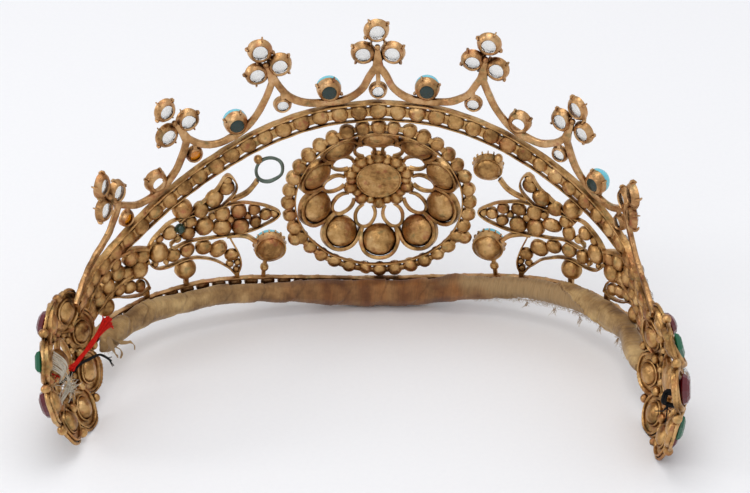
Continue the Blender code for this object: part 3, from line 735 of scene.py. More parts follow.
def turquoise_glass():
    """Opaque turquoise-blue glass, moulded and polished: clouded over about 3 mm, with a soft gloss.

    Its back is painted a dark green-grey, as shade.
    """
    material, shader, position = new_material("turquoise_glass_moulded")
    clouds = add_node(material, "TexNoise", {"Scale": per_metre(2.857), "Detail": 4.0}, {"Vector": position})
    front = add_node(material, "Attribute", {"attribute_name": "front"}).outputs["Fac"]
    blue = {MIX_FIRST: linear("#5FB9CC"), MIX_SECOND: linear("#8AD3DE")}
    colour = add_node(material, "Mix", {"data_type": "RGBA", **blue}, {MIX_SHARE: clouds.outputs["Fac"]})
    # The back is painted a dark green-grey as shade.
    shaded_back = add_node(material, "Mix", {"data_type": "RGBA", MIX_FIRST: linear("#1B302B")},
                      {MIX_SHARE: front, MIX_SECOND: colour.outputs[MIXED]})
    shader.inputs["Roughness"].default_value = 0.22
    shader.inputs["Subsurface Weight"].default_value = 0.2
    shader.inputs["Subsurface Scale"].default_value = 1.0 * MM
    feed(material, shader, {"Base Color": shaded_back.outputs[MIXED]})
    return material


TURQUOISE_GLASS = turquoise_glass()


def turquoise_cabochon(name, spot, nodes=()):
    """A turquoise in its setting, blue in front and painted dark with shade at its back."""
    stone = Soldered()
    stone.add(turned([(radius, depth) for radius, depth, _ in CABOCHON], CABOCHON_SIDES), spot)
    made = stone.make(name, TURQUOISE_GLASS, "turquoise", nodes, hand=0.03)
    front = np.repeat([blue for _, _, blue in CABOCHON], CABOCHON_SIDES).astype(np.float32)
    made.data.attributes.new("front", "FLOAT", "POINT").data.foreach_set("value", front)


for (side, number), node in TURQUOISES.items():
    s, h = SCALLOP_SETTINGS[number]
    turquoise_cabochon(node + "_cabochon", place(side * s, h), [node])


# Trefoils
# On each fork stand three open claw settings of gilt brass, soldered edge to edge on a short leaf.
# Their clear pastes let the light through, so the holes look pale from behind.

# The handling of years has bent them apart, so each has its own three places: top, inner and outer.
TREFOIL_RINGS = {
    0: ((0.2, 72.2), (-3.6, 66.1), (3.6, 66.1)),
    1: ((28.9, 68.1), (24.1, 63.8), (29.8, 61.8)),
    2: ((54.2, 56.1), (48.0, 51.9), (53.7, 48.9)),
    3: ((76.2, 43.3), (69.9, 38.7), (75.1, 36.1)),
    -1: ((-27.5, 69.4), (-23.4, 64.6), (-29.5, 62.7)),
    -2: ((-51.6, 56.0), (-46.8, 51.4), (-53.4, 49.7)),
    -3: ((-76.4, 42.2), (-69.4, 37.4), (-74.9, 35.4)),
}
TREFOIL_R = 3.15
TREFOIL_STONE = (2.6, 1.3, 12)
TREFOIL_STONE_OUT = 0.6
TREFOIL_LEAF = (2.4, 1.1)
MIDDLE_TREFOIL = 4

for number, rings in TREFOIL_RINGS.items():
    s, h = FORKS[abs(number)]
    s = -s if number < 0 else s
    trefoil = Soldered()
    for ring_s, ring_h in rings:
        spot = place(ring_s, ring_h, 0, tilted(chance, 4))
        radius = TREFOIL_R * chance.uniform(0.97, 1.03)
        trefoil.add(claw_setting(radius, claws=4, start=chance.uniform(0, 1.5)), spot)
        clear_drops.add(cut_paste(*TREFOIL_STONE), spot @ place(0, 0, TREFOIL_STONE_OUT))
    middle_s, middle_h = np.mean(rings, axis=0)
    leaf = [(s, h - 0.6), (s + 0.3 * (middle_s - s), h + 0.3 * (middle_h - h)), (middle_s, middle_h)]
    trefoil.add(swept(leaf, flat_strip(*TREFOIL_LEAF), sizes=(1.1, 0.85, 0.35)))
    trefoil.add(granule(0.8), place(middle_s, middle_h, -0.4))
    counted = MIDDLE_TREFOIL - number
    trefoil.make(f"trefoil_claws_{counted}", GILT_STRIP, "gilt_brass", [f"trefoil_{counted}"])
clear_drops.make("crest_clear_stones", CLEAR_PASTE, "clear_glass", hand=0.0, rounded=False)
amber_drops.make("crest_amber_stones", AMBER_PASTE, "clear_glass", hand=0.0, rounded=False)


# Medallion
# An oval of small closed collets on a wire, round a flower that is domed to the front: ten petals,
# each a deep cup in a scalloped strip, then wire loops, a ring of beads and a flat-backed heart.

MEDALLION_H = 23.5
ROW_HALF_S, ROW_HALF_H = 22.6, 21.65
ROW_COLLETS = 36
ROW_COLLET_R = 1.9
ROW_WIRE = (0.42, 1.0)
ROW_WIRE_PART = 0.925
ROW_SOLDER = (1.5, 0.6)
ROW_STONE = (1.5, 1.5)
ROW_STONE_OUT = 1.0
OUTER_COLLET = (21.1, 12.4)
OVAL_STEPS = 96

DOME_TALL, DOME_R, DOME_POWER = 9.3, 20.6, 2.2
FLOWER_WIDEN = Matrix.Diagonal((1.04, 1, 1, 1))
PETALS = 10
PETAL_AT = 15.5
PETAL_CUP_R = 4.05
PETAL_EDGE = ((3.95, -3.3), (4.25, -1.4), (4.4, 0.5), (3.75, 2.7), (2.1, 4.2), (0, 4.7))
PETAL_STRIP = (0.95, 2.0)
PETAL_STRIP_IN = 0.1
PETAL_STONE = (3.2, 2.8, 12)
PETAL_STONE_OUT = 1.1
LOOP_AT = 10.7
LOOP_EDGE = ((1.15, -3.0), (2.0, -1.7), (2.25, 0.1), (1.55, 2.0), (0, 2.75))
LOOP_WIRE = (0.85, 1.1)
BEAD_AT = 6.9
SMALL_BEAD_AT = BEAD_AT - 0.6
HEART_R = 5.35
# The heart's rings from its seat round its rim to its flat back, as steps in from the rim and depths.
HEART_RIM = (
    (0.6, 1.0), (0.5, 1.5), (0.1, 1.5), (0, 1.2), (0, -0.9), (0.12, -1.2), (0.42, -1.2), (0.6, -1.0),
    (0.5 * HEART_R, -1.02),
)
HEART_STONE = (4.5, 3.4, 12)
HEART_STONE_OUT = 1.3


def on_row(angle, part=1.0):
    """A place on the oval row, or on a smaller oval inside it."""
    return part * ROW_HALF_S * math.sin(angle), MEDALLION_H - part * ROW_HALF_H * math.cos(angle)


def on_dome(angle, radius):
    """Placement on the flower's dome: x runs round it, y outwards down it and z off it."""
    part = radius / DOME_R
    out = DOME_TALL * (1 - part ** DOME_POWER)
    slope = math.atan(DOME_TALL * DOME_POWER * part ** (DOME_POWER - 1) / DOME_R)
    spin = Matrix.Rotation(angle, 4, "Z") @ Matrix.Translation((0, -radius, out))
    widen = Matrix.Translation((0, MEDALLION_H, 0)) @ FLOWER_WIDEN
    # Outwards is -y before the turn.
    return widen @ spin @ Matrix.Rotation(slope, 4, "X") @ Matrix.Diagonal((1, -1, 1, 1))


def both_halves(edge):
    """A whole outline from its right half, which ends on the middle line."""
    return np.array([(-x, y) for x, y in edge[:-1]] + list(edge[::-1]))


ring, ring_stones = Soldered(), Soldered()
round_angles = np.arange(OVAL_STEPS) * math.tau / OVAL_STEPS
oval = [on_row(angle, ROW_WIRE_PART) for angle in round_angles]
ring.add(swept(oval, flat_strip(*ROW_WIRE), closed=True))
solder = [on_row(angle) for angle in round_angles]
ring.add(swept(solder, flat_strip(*ROW_SOLDER), closed=True), place(0, 0, -SOLDER_IN))
spots = [on_row(angle) for angle in np.arange(ROW_COLLETS) * math.tau / ROW_COLLETS]
spots += [(side * OUTER_COLLET[0], OUTER_COLLET[1]) for side in (1, -1)]
for s, h in spots:
    spot = place(s, h, 0, tilted(chance, 9))
    radius = ROW_COLLET_R * chance.uniform(0.9, 1.02)
    ring.add(closed_collet(radius, deep=chance.uniform(0.55, 0.85), sides=16), spot)
    ring_stones.add(cut_paste(*ROW_STONE), spot @ place(0, 0, ROW_STONE_OUT))
ring.make("medallion_ring_collets", GILT_BRASS, "gilt_brass", ["medallion_ring"])
ring_stones.make("medallion_ring_stones", CLEAR_PASTE, "clear_glass", hand=0.0, rounded=False)

flower, red_petals, green_petals, heart_stone = Soldered(), Soldered(), Soldered(), Soldered()
petal_strip = swept(smooth(both_halves(PETAL_EDGE), 0.8), flat_strip(*PETAL_STRIP, edge=0.25))
loop = swept(smooth(both_halves(LOOP_EDGE), 0.5), flat_strip(*LOOP_WIRE, edge=0.3))
for k in range(PETALS):
    angle = math.tau * k / PETALS
    between = angle + math.pi / PETALS
    petal = on_dome(angle, PETAL_AT)
    flower.add(closed_collet(PETAL_CUP_R, deep=0.55, front=1.2, sides=28), petal @ tilted(chance, 3))
    flower.add(petal_strip, petal @ place(0, 0, -PETAL_STRIP_IN))
    flower.add(loop, on_dome(between, LOOP_AT))
    flower.add(granule(1.65, 14), on_dome(angle, BEAD_AT))
    flower.add(granule(1.3, 12), on_dome(between, SMALL_BEAD_AT))
    stones = red_petals if k % 2 else green_petals
    stones.add(cut_paste(*PETAL_STONE), petal @ place(0, 0, PETAL_STONE_OUT))
heart = [(AXIS_R, 1.0)] + [(HEART_R - step, depth) for step, depth in HEART_RIM] + [(AXIS_R, -1.1)]
flower.add(turned(heart, 36), place(0, MEDALLION_H, DOME_TALL, FLOWER_WIDEN))
heart_stone.add(cut_paste(*HEART_STONE), place(0, MEDALLION_H, DOME_TALL + HEART_STONE_OUT))
flower.make("medallion_flower_petals", GILT_BRASS, "gilt_brass", ["medallion_flower"])
red_petals.make("petal_red_stones", RED_PASTE, "red_glass", hand=0.0, rounded=False)
green_petals.make("petal_green_stones", GREEN_PASTE, "green_glass", hand=0.0, rounded=False)
heart_stone.make("medallion_heart_stone", CLEAR_PASTE, "clear_glass", hand=0.0, rounded=False)


# Sprays
# Leaves outlined with thin strip on edge and filled with closed collets, two sprays that answer each
# other. Round-backed domes are soldered on beside them, and stems run to the settings.

LEAF_STRIP = (0.42, 1.3)
LEAF_OVERLAP = 0.03
LEAVES = (
    ((50.6, 18.4), (53.3, 17.2), (52.4, 15.6), (47.7, 16.6), (42.4, 16.1), (34, 16.2), (28.2, 18.0),
     (24.8, 20.8), (27.6, 23.2), (31.5, 24.7), (36, 25.4), (43, 24.6), (47.5, 24.2), (52.6, 24.0),
     (55.6, 22.4), (58.4, 20.2), (60.0, 17.2), (59.4, 13.4), (56.9, 10.9), (52.8, 10.6), (49.2, 11.3),
     (45.6, 10.8), (41.5, 9.0), (38.3, 6.2), (36.1, 3.6), (34.9, 6.5), (35.6, 10.2), (37.6, 15.2)),
    ((39.8, 24.6), (36.3, 28.2), (35.6, 31.2), (37.9, 34.2), (41, 30.2), (45.5, 26.6), (51, 23.0)),
    ((59.4, 6.0), (62, 4.9), (66, 6.0), (70, 8.2), (74, 9.6)),
    ((59.4, 6.0), (61, 9.4), (65, 11.2), (70, 11.6), (75, 10.6)),
)
# Where each collet sits and how much of it shows as a radius. Its rim is wider by LEAF_RIM.
LEAF_COLLETS = (
    (38.0, 32.6, 1.1), (38.1, 30.4, 1.7), (41.3, 27.7, 2.05), (45.0, 25.2, 1.75), (47.8, 22.2, 1.4),
    (26.3, 20.8, 0.9), (33.0, 20.9, 0.8), (37.4, 20.7, 0.9), (42.0, 22.4, 0.9), (28.3, 20.8, 1.35),
    (31.2, 22.6, 1.25), (35.2, 22.9, 1.7), (39.6, 22.9, 1.75), (31.0, 18.9, 1.3), (35.0, 18.3, 1.9),
    (39.7, 18.5, 2.05), (44.1, 20.0, 2.1), (48.6, 19.0, 1.6), (51.4, 18.0, 0.9), (53.6, 20.6, 1.6),
    (56.4, 19.6, 0.9), (56.9, 15.9, 2.2), (57.6, 12.4, 0.7), (54.6, 12.0, 0.6), (49.2, 22.0, 0.8),
    (36.2, 5.0, 0.7), (35.7, 7.0, 0.75), (37.8, 6.9, 0.8), (37.2, 9.6, 1.5), (40.6, 12.2, 2.0),
    (44.5, 13.6, 1.75), (48.8, 13.9, 1.6), (52.7, 13.5, 1.6), (62.2, 7.6, 1.35), (65.4, 8.6, 1.5),
    (69.0, 9.8, 1.5), (72.4, 9.6, 1.2), (61.5, 16.4, 1.7), (65.2, 17.4, 1.9), (69.5, 14.9, 1.8),
    (73.4, 13.0, 1.7), (77.2, 11.2, 1.6), (81.2, 9.8, 1.6), (66.4, 13.4, 1.5), (70.4, 18.0, 1.5),
    (74.4, 16.6, 1.6), (78.4, 14.4, 1.6), (82.2, 12.6, 1.5),
)
LEAF_RIM = 1.23
LEAF_STEMS = (
    ((30.3, 31.45), (32.2, 28.9), (34.5, 27.4), (37.4, 26.6)),
    ((31.0, 12.8), (33, 14.7), (35.5, 15.6), (38.4, 15.8)),
    ((59.8, 18.0), (64, 19.6), (70, 20.0), (77, 17.4), (86, 13.6)),
    ((59.6, 14.2), (64, 12.6), (70, 11.6), (78, 8.6), (86, 7.4)),
)
STEM_STRIP = (1.0, 1.5)
STEM_IN = 0.05
SPRAY_DOMES = ((49.9, 26.6, 2.6), (49.3, 8.2, 2.75), (62.6, 13.0, 2.6), (73.6, 6.8, 2.3))
SPRAY_FEET = ((36.0, 4.4), (49.3, 5.6), (60.4, 5.4))
FOOT_STRIP = (1.2, 1.4)
# One collet on the left has lost its back, so that its green paste shows dark from behind.
OPEN_STONE_R = 1.35
OPEN_STONE_AT = (51.0, 21.6, -0.8)

open_stone = Soldered()
open_stone.add(granule(OPEN_STONE_R, 14), place(*OPEN_STONE_AT))
open_stone.make("spray_left_green_stone", GREEN_BACK, "green_glass", hand=0.0)

for side, name in ((1, "left"), (-1, "right")):
    spray = Soldered()
    for number, leaf in enumerate(LEAVES):
        leaf_strip = swept(smooth(leaf, 0.9), flat_strip(*LEAF_STRIP))
        spray.add(leaf_strip, place(0, 0, LEAF_OVERLAP * number), mirror=side)
    for stem in LEAF_STEMS:
        stem_strip = swept(smooth(stem, 0.9), flat_strip(*STEM_STRIP, edge=0.25))
        spray.add(stem_strip, place(0, 0, -STEM_IN), mirror=side)
    for s, h, radius in LEAF_COLLETS:
        spot = place(s, h, 0, tilted(chance, 10))
        collet = closed_collet(LEAF_RIM * radius, deep=chance.uniform(0.55, 0.8), front=0.9, sides=14)
        spray.add(collet, spot, mirror=side)
    for s, h, radius in SPRAY_DOMES:
        spray.add(closed_collet(radius, deep=0.8, sides=20), place(s, h, 0, tilted(chance, 6)), mirror=side)
    for s, h in SPRAY_FEET:
        foot_line = [(s, h), (s, (h + rail_top(s)) / 2), (s, rail_top(s) + 0.1)]
        spray.add(swept(foot_line, flat_strip(*FOOT_STRIP)), mirror=side)
    spray.make(f"spray_{name}_leaves", GILT_BRASS, "gilt_brass", [f"spray_{name}"])


# Crown settings
# Four larger settings beside the medallion, with toothed galleries of stamped strip. The upper left
# one has lost its cup, so only a bare ring of tarnished wire is left.

UPPER_SETTING = (27.3, 34.2, 3.7)
UPPER_BEAD = (30.0, 37.5)
UPPER_STONE = (3.0, 2.6, 12)
UPPER_STONE_OUT = 1.0
LOWER_SETTING = (27.4, 10.3, 4.0)
LOWER_BEAD = (29.0, 4.6)
LOWER_POST = ((28.7, 7.2), (29.1, 4.6), (29.3, 2.0))
LOWER_POST_STRIP = (1.0, 1.1)
# The lower turquoises stand so high that their edge shows between the teeth from behind.
LOWER_STONE_OUT = 0.2
LOWER_STONE_GROW = 1.2
SETTING_BEAD_R = 1.15
# A tooth's run, as steps out from the setting's radius and heights.
TOOTH_RUN = ((-0.15, 1.3), (0, 1.9), (-0.15, 2.4))
TOOTH_STRIP = (0.8, 0.4)
BARE_RING = (3.35, 3.45)
BARE_WIRE_R = 0.46


def crown_setting(radius, teeth=16):
    """A round-backed cup in a toothed gallery."""
    setting = Soldered()
    setting.add(closed_collet(0.9 * radius, deep=0.75, front=1.0, sides=28))
    gallery = ((radius, -0.6), (radius + 0.05, 1.5), (radius - 0.35, 1.5), (radius - 0.4, -0.6))
    setting.add(turned(gallery, 32, closed=True))
    for k in range(teeth):
        angle = math.tau * k / teeth
        out = np.array([math.cos(angle), math.sin(angle), 0])
        path = [out * (radius + step) + (0, 0, z) for step, z in TOOTH_RUN]
        setting.add(swept(path, flat_strip(*TOOTH_STRIP), up=(-out[1], out[0], 0), sizes=(1, 0.8, 0.4)))
    return setting.shape()


def bare_wire():
    """Brass wire with the gilding gone: tarnished grey-green in spots of 2 mm, with a dull gloss."""
    material, shader, position = new_material("brass_wire_tarnished")
    spots = add_node(material, "TexNoise", {"Scale": per_metre(2), "Detail": 5.0}, {"Vector": position})
    tarnish = {MIX_FIRST: linear("#4C5850"), MIX_SECOND: linear("#828E82")}
    colour = add_node(material, "Mix", {"data_type": "RGBA", **tarnish}, {MIX_SHARE: spots.outputs["Fac"]})
    shader.inputs["Metallic"].default_value = 1.0
    shader.inputs["Roughness"].default_value = 0.45
    feed(material, shader, {"Base Color": colour.outputs[MIXED]})
    return material


BARE_WIRE = bare_wire()


def lower_crown(side, name):
    """A lower crown setting with its bead, its post and its turquoise."""
    s, h, radius = LOWER_SETTING
    bead_s, bead_h = LOWER_BEAD
    setting = Soldered()
    setting.add(crown_setting(radius), place(side * s, h, 0, tilted(chance, 5)))
    setting.add(granule(SETTING_BEAD_R, 14), place(side * bead_s, bead_h))
    setting.add(swept(LOWER_POST, flat_strip(*LOWER_POST_STRIP)), mirror=side)
    stone_spot = place(side * s, h, LOWER_STONE_OUT, Matrix.Scale(LOWER_STONE_GROW, 4))
    turquoise_cabochon(f"setting_lower_{name}_stone", stone_spot)
    setting.make(f"setting_lower_{name}_crown", GILT_BRASS, "gilt_brass", [f"setting_lower_{name}"])


s, h, radius = UPPER_SETTING
bead_s, bead_h = UPPER_BEAD

lower_crown(1, "left")
bead = Soldered()
bead.add(granule(SETTING_BEAD_R, 14), place(bead_s, bead_h))
bead.make("setting_upper_left_bead", GILT_BRASS, "gilt_brass")
wire = Soldered()
bare_ring = [(s + BARE_RING[0] * x, h + BARE_RING[1] * y) for x, y in circle(1.0, 48)]
wire.add(swept(bare_ring, circle(BARE_WIRE_R), closed=True))
wire.make("setting_upper_left_wire", BARE_WIRE, "tarnished_wire", ["setting_upper_left"], hand=0.12)

lower_crown(-1, "right")
setting = Soldered()
setting.add(granule(SETTING_BEAD_R, 14), place(-bead_s, bead_h))
setting.add(crown_setting(radius), place(-s, h, 0, tilted(chance, 5)))
setting.make("setting_upper_right_crown", GILT_BRASS, "gilt_brass", ["setting_upper_right"])
crown_stone = Soldered()
crown_stone.add(cut_paste(*UPPER_STONE), place(-s, h, UPPER_STONE_OUT))
crown_stone.make("setting_upper_right_stone", CLEAR_PASTE, "clear_glass", hand=0.0, rounded=False)


# Rosettes
# At each end eight cupped lobes, round-backed with a rolled rim, stand round a raised hub on an
# openwork ring. Red and green pastes alternate in front, with a clear one at the heart.

ROSETTE_PLACE = {1: (103.8, 9.93, -1.0), -1: (-104.8, 9.2, -0.7)}
ROSETTE_TUCK = {1: math.radians(17), -1: math.radians(8)}
ROSETTE_SPIN = {1: math.radians(38.8), -1: math.radians(18.6)}
ROSETTE_CENTRES = {
    side: place(*ROSETTE_PLACE[side], Matrix.Rotation(ROSETTE_TUCK[side], 4, "X")) for side in (1, -1)
}
HUB_RISE = 3.2
ROSETTE_FALL_R = 15.0
# The hub's rings from its seat in front to its round back, as radii and depths.
HUB = (
    (0.03, 0.5), (3.4, 0.5), (3.5, 1.1), (4.1, 1.1), (4.3, 0.8), (4.3, -1.1), (3.9, -1.6), (3.2, -2.2),
    (1.8, -2.7), (0.03, -2.8),
)
# The radius of each openwork ring, and its strip's width and depth.
ROSETTE_RINGS = ((6.6, (0.5, 1.6)), (9.3, (2.4, 0.6)))
ROSETTE_RINGS_IN = 0.1
HUB_BEADS = 16
HUB_BEADS_AT = 7.8
HUB_BARS = 4
HUB_BAR_LINE = ((3.8, 0), (5.5, 0), (7.2, 0), (9.2, 0))
HUB_BAR_STRIP = (1.3, 1.2)
HUB_BAR_OUT = 2.7
LOBES = 8
LOBE_AT = 12.8
LOBE_TILT = math.radians(20)
# A lobe's rings from its seat round its rolled rim to its stepped back, as radii and depths.
LOBE = (
    (0.03, 0.2), (4.0, 0.2), (4.1, 0.6), (4.6, 0.62), (4.95, 0.35), (5.05, -0.3), (5.0, -0.95),
    (4.75, -1.15), (4.45, -0.95), (4.35, -0.5), (3.3, -0.45), (3.2, -0.9), (2.95, -1.05), (2.7, -0.9),
    (2.6, -0.75), (2.45, -1.2), (2.0, -1.75), (1.2, -2.1), (0.03, -2.2),
)
ROPE_R = 5.45
ROPE_WIRE_R = 0.42
ROPE_TURNS = 40
ROPE_TWIST = 0.28
# How far out the beads in the corners between the lobes sit, their radius, and how far they stand off.
CORNER_BEADS = ((16.3, 1.15, 0.2), (10.2, 1.35, -0.6))
LOBE_STONE_OUT = 0.6
RED_STONE = (3.6, 2.8, 12)
RED_OVAL = Matrix.Diagonal((0.78, 1.0, 1.0, 1.0))
GREEN_STONE = (2.9, 2.0, 4)
GREEN_UPRIGHT = Matrix.Diagonal((0.9, 1.2, 1.0, 1.0)) @ Matrix.Rotation(math.pi / 4, 4, "Z")
HUB_STONE = (3.3, 3.0, 12)
HUB_STONE_OUT = 1.2


def rosette_out(radius):
    """How far the rosette's back stands out at a radius."""
    return HUB_RISE * (1 - (radius / ROSETTE_FALL_R) ** 2)


for side, name in ((1, "left"), (-1, "right")):
    centre = ROSETTE_CENTRES[side]
    rosette = Soldered()
    rosette.add(turned(HUB, 28), centre @ place(0, 0, HUB_RISE))
    for radius, strip in ROSETTE_RINGS:
        ring_strip = swept(circle(radius, 64), flat_strip(*strip), closed=True)
        rosette.add(ring_strip, centre @ place(0, 0, rosette_out(radius) - ROSETTE_RINGS_IN))
    for k in range(HUB_BEADS):
        angle = ROSETTE_SPIN[side] + math.tau * (k + 0.5) / HUB_BEADS
        x, y = HUB_BEADS_AT * math.cos(angle), HUB_BEADS_AT * math.sin(angle)
        rosette.add(granule(1.0), centre @ place(x, y, rosette_out(HUB_BEADS_AT) - 0.4))
    for k in range(HUB_BARS):
        spin = Matrix.Rotation(ROSETTE_SPIN[side] + math.tau * k / HUB_BARS, 4, "Z")
        bar = swept(HUB_BAR_LINE, flat_strip(*HUB_BAR_STRIP))
        rosette.add(bar, centre @ spin @ place(0, 0, HUB_BAR_OUT))
    for k in range(LOBES):
        spin = Matrix.Rotation(ROSETTE_SPIN[side] + math.tau * k / LOBES, 4, "Z")
        spot = centre @ spin @ place(LOBE_AT, 0, rosette_out(LOBE_AT), Matrix.Rotation(LOBE_TILT, 4, "Y"))
        rosette.add(turned(LOBE, 30), spot @ tilted(chance, 5))
        # Twisted wire runs round each lobe, thick and thin by turns.
        twist = 1 - ROPE_TWIST * (np.arange(2 * ROPE_TURNS) % 2)
        rope = swept(circle(ROPE_R, 2 * ROPE_TURNS), circle(ROPE_WIRE_R, 6), closed=True, sizes=twist)
        rosette.add(rope, spot @ place(0, 0, -0.2))
        corner = centre @ Matrix.Rotation(ROSETTE_SPIN[side] + math.tau * (k + 0.5) / LOBES, 4, "Z")
        for bead_at, bead_r, bead_off in CORNER_BEADS:
            rosette.add(granule(bead_r, 12), corner @ place(bead_at, 0, rosette_out(bead_at) + bead_off))
        stone = Soldered()
        if k % 2:
            colour, slot = RED_PASTE, "red_glass"
            stone.add(cut_paste(*RED_STONE), spot @ place(0, 0, LOBE_STONE_OUT) @ RED_OVAL)
        else:
            colour, slot = GREEN_PASTE, "green_glass"
            stone.add(cut_paste(*GREEN_STONE), spot @ place(0, 0, LOBE_STONE_OUT) @ GREEN_UPRIGHT)
        node = f"rosette_stone_{name}_{k + 1}"
        stone.make(f"rosette_{name}_stone_{k + 1}", colour, slot, [node], hand=0.0, rounded=False)
    stone = Soldered()
    stone.add(cut_paste(*HUB_STONE), centre @ place(0, 0, HUB_RISE + HUB_STONE_OUT))
    node = f"rosette_heart_stone_{name}"
    stone.make(f"rosette_{name}_heart_stone", CLEAR_PASTE, "clear_glass", [node], hand=0.0, rounded=False)
    rosette.make(f"rosette_{name}_lobes", GILT_BRASS, "gilt_brass", [f"rosette_{name}"], hand=0.07)


# Threads
# Sewing threads that held the tiara to a headdress hang in the rosettes: red and black silk, and a
# frayed undyed one. They are knotted round the hubs and have come loose.

# The red skein is spread over the roll's end, between three corners, and gathered towards the hub.
SKEIN = np.array([(-21.9, -0.6, -4.4), (-20.9, -3.9, -4.4), (-16.5, 2.8, -4.2)])
SKEIN_THREADS = 46
GATHERED = np.array((-15.4, 0.3, -4.2))
# Where the gathered skein runs, and how far its threads spread there.
SKEIN_RUN = (((-7.0, 1.0, -3.7), 0.2), ((-2.0, 0.9, -2.9), 0.18), ((3.0, 1.2, -1.9), 0.3))
RED_KNOT = np.array((3.7, 0.0, 2.2))
BLACK_RUN = (
    (5.2, -1.4, 1.0), (2.4, -0.6, -1.2), (0.3, 0.3, -3.0), (-2.2, 0.2, -4.6), (-4.8, -0.6, -5.6),
    (-7.0, -2.4, -6.2), (-9.2, -5.2, -6.5),
)
BLACK_FORK = [(-6.6, -2.0, -6.1), (-8.0, -3.6, -6.4)]
BLACK_ENDS = ((-10.4, -5.0, -6.4), (-8.8, -6.6, -6.6), (-10.0, -7.2, -6.4))
BINDING_TURNS = 9
UNDYED_TUFT = np.array((5.8, -1.8, -1.6))
UNDYED_TAIL = ((4.5, 0.4, -0.6), (5.4, -1.0, -1.4), (7.6, -2.4, -0.6), (10.0, -3.6, 0.2))
RIGHT_KNOT = (-13.2, 4.7, -1.6)
RIGHT_TAILS = (
    ((-13.5, 2.8, -2.2), (-12.5, 0.8, -2.6), (-9.8, -1.2, -2.9), (-7.3, -3.0, -3.0)),
    ((-13.2, 2.6, -2.0), (-13.4, 0.2, -2.1), (-12.8, -2.7, -2.0)),
)


def thread_silk(name, colour, darker):
    """Twisted sewing silk: matt, with painted shade, a darker colour, between its plies.

    The real plies turn every 0.3 mm or so, too fine to show, so they are drawn 0.67 mm apart.
    """
    material, shader, position = new_material(name)
    plies = add_node(material, "TexNoise", {"Scale": per_metre(0.6667), "Detail": 2.0}, {"Vector": position})
    # The darker colour is painted shade between the plies.
    ply_colour_and_shade = {MIX_FIRST: linear(darker), MIX_SECOND: linear(colour)}
    tone = add_node(material, "Mix", {"data_type": "RGBA", **ply_colour_and_shade}, {MIX_SHARE: plies.outputs["Fac"]})
    shader.inputs["Roughness"].default_value = 0.8
    shader.inputs["Specular IOR Level"].default_value = 0.2
    feed(material, shader, {"Base Color": tone.outputs[MIXED]})
    return material


RED_SILK = thread_silk("sewing_silk_red", "#DA1C0C", "#A00E06")
BLACK_SILK = thread_silk("sewing_silk_black", "#0D0B0D", "#040404")
UNDYED_SILK = thread_silk("sewing_silk_undyed", "#E0D8C8", "#A39A88")

chance = np.random.default_rng(11)
left_hub, right_hub = ROSETTE_CENTRES[1], ROSETTE_CENTRES[-1]
red, black, undyed = Soldered(), Soldered(), Soldered()
for _ in range(SKEIN_THREADS):
    start = chance.dirichlet((0.8, 0.8, 0.8)) @ SKEIN
    path = [start, 0.45 * start + 0.55 * GATHERED + chance.normal(0, 0.2, 3)]
    path += [np.array(spot) + chance.normal(0, spread, 3) for spot, spread in SKEIN_RUN]
    red.add(strand(path, 0.15, 5, 0.8, 0.8), left_hub)
for _ in range(10):
    knot = [RED_KNOT + chance.normal(0, 0.7, 3) for _ in range(3)]
    red.add(strand(knot, 0.16, 5, 0.5, 0.8), left_hub)
for _ in range(3):
    path = np.array(BLACK_RUN) + chance.normal(0, 0.12, (len(BLACK_RUN), 3))
    black.add(strand(path, 0.26, 6, 0.6, 0.7), left_hub)
for end in BLACK_ENDS:
    black.add(strand([*BLACK_FORK, end], 0.17, 5, 0.5, 0.6), left_hub)

# Turns of undyed thread bind the left hub, and its end has frayed to a tuft.
for k in range(BINDING_TURNS):
    across = 3.0 + 0.55 * k
    path = [(across, 6.2 - 0.2 * k, 0.9), (across + 0.5, 4.4 - 0.1 * k, -0.9), (across + 0.3, 2.4, -1.3),
            (across - 0.4, 0.2, 0.1)]
    undyed.add(strand(np.array(path) + chance.normal(0, 0.06, (4, 3)), 0.2, 6, 0.6, 1.0), left_hub)
for _ in range(60):
    start = UNDYED_TUFT + chance.normal(0, 0.5, 3)
    end = start + chance.normal(0, 1, 3) * (2.2, 1.7, 1.2)
    middle = (start + end) / 2 + chance.normal(0, 0.3, 3)
    undyed.add(strand([start, middle, end], 0.08, 4, 0.5, 0.4), left_hub)
for _ in range(7):
    path = np.array(UNDYED_TAIL) + chance.normal(0, 0.3, (4, 3))
    undyed.add(strand(path, 0.14, 5, 0.6, 0.7), left_hub)

# On the right the black thread is a thick loose knot with two tails, standing off a lobe.
knot_s, knot_h, knot_d = RIGHT_KNOT
for _ in range(6):
    angles = np.linspace(0, math.tau * 1.05, 14) + chance.uniform(0, 6)
    radius = chance.uniform(1.4, 2.1)
    loose = np.stack([knot_s + 0.5 * np.cos(3 * angles) + chance.normal(0, 0.3),
                      knot_h + radius * np.sin(angles), knot_d + radius * np.cos(angles)], axis=1)
    black.add(strand(loose, 0.4, 6, 0.5, 0.9), right_hub)
for tail in RIGHT_TAILS:
    black.add(strand(tail, 0.2, 5, 0.5, 0.5), right_hub)
red.make("sewing_thread_red", RED_SILK, "silk_ribbon", hand=0.0)
black.make("sewing_thread_black", BLACK_SILK, "silk_ribbon", hand=0.0)
undyed.make("sewing_thread_undyed", UNDYED_SILK, "silk_ribbon", hand=0.0)


# Floor, light and camera
# A seamless white paper floor in an evenly lit studio, with a large soft lamp over the tiara and
# weaker ones at the camera's side and the left. The camera looks down from about 32 degrees.

FLOOR_REACH = 3.0
STUDIO_COLOUR = "#EDEEF1"
STUDIO_STRENGTH = 0.84
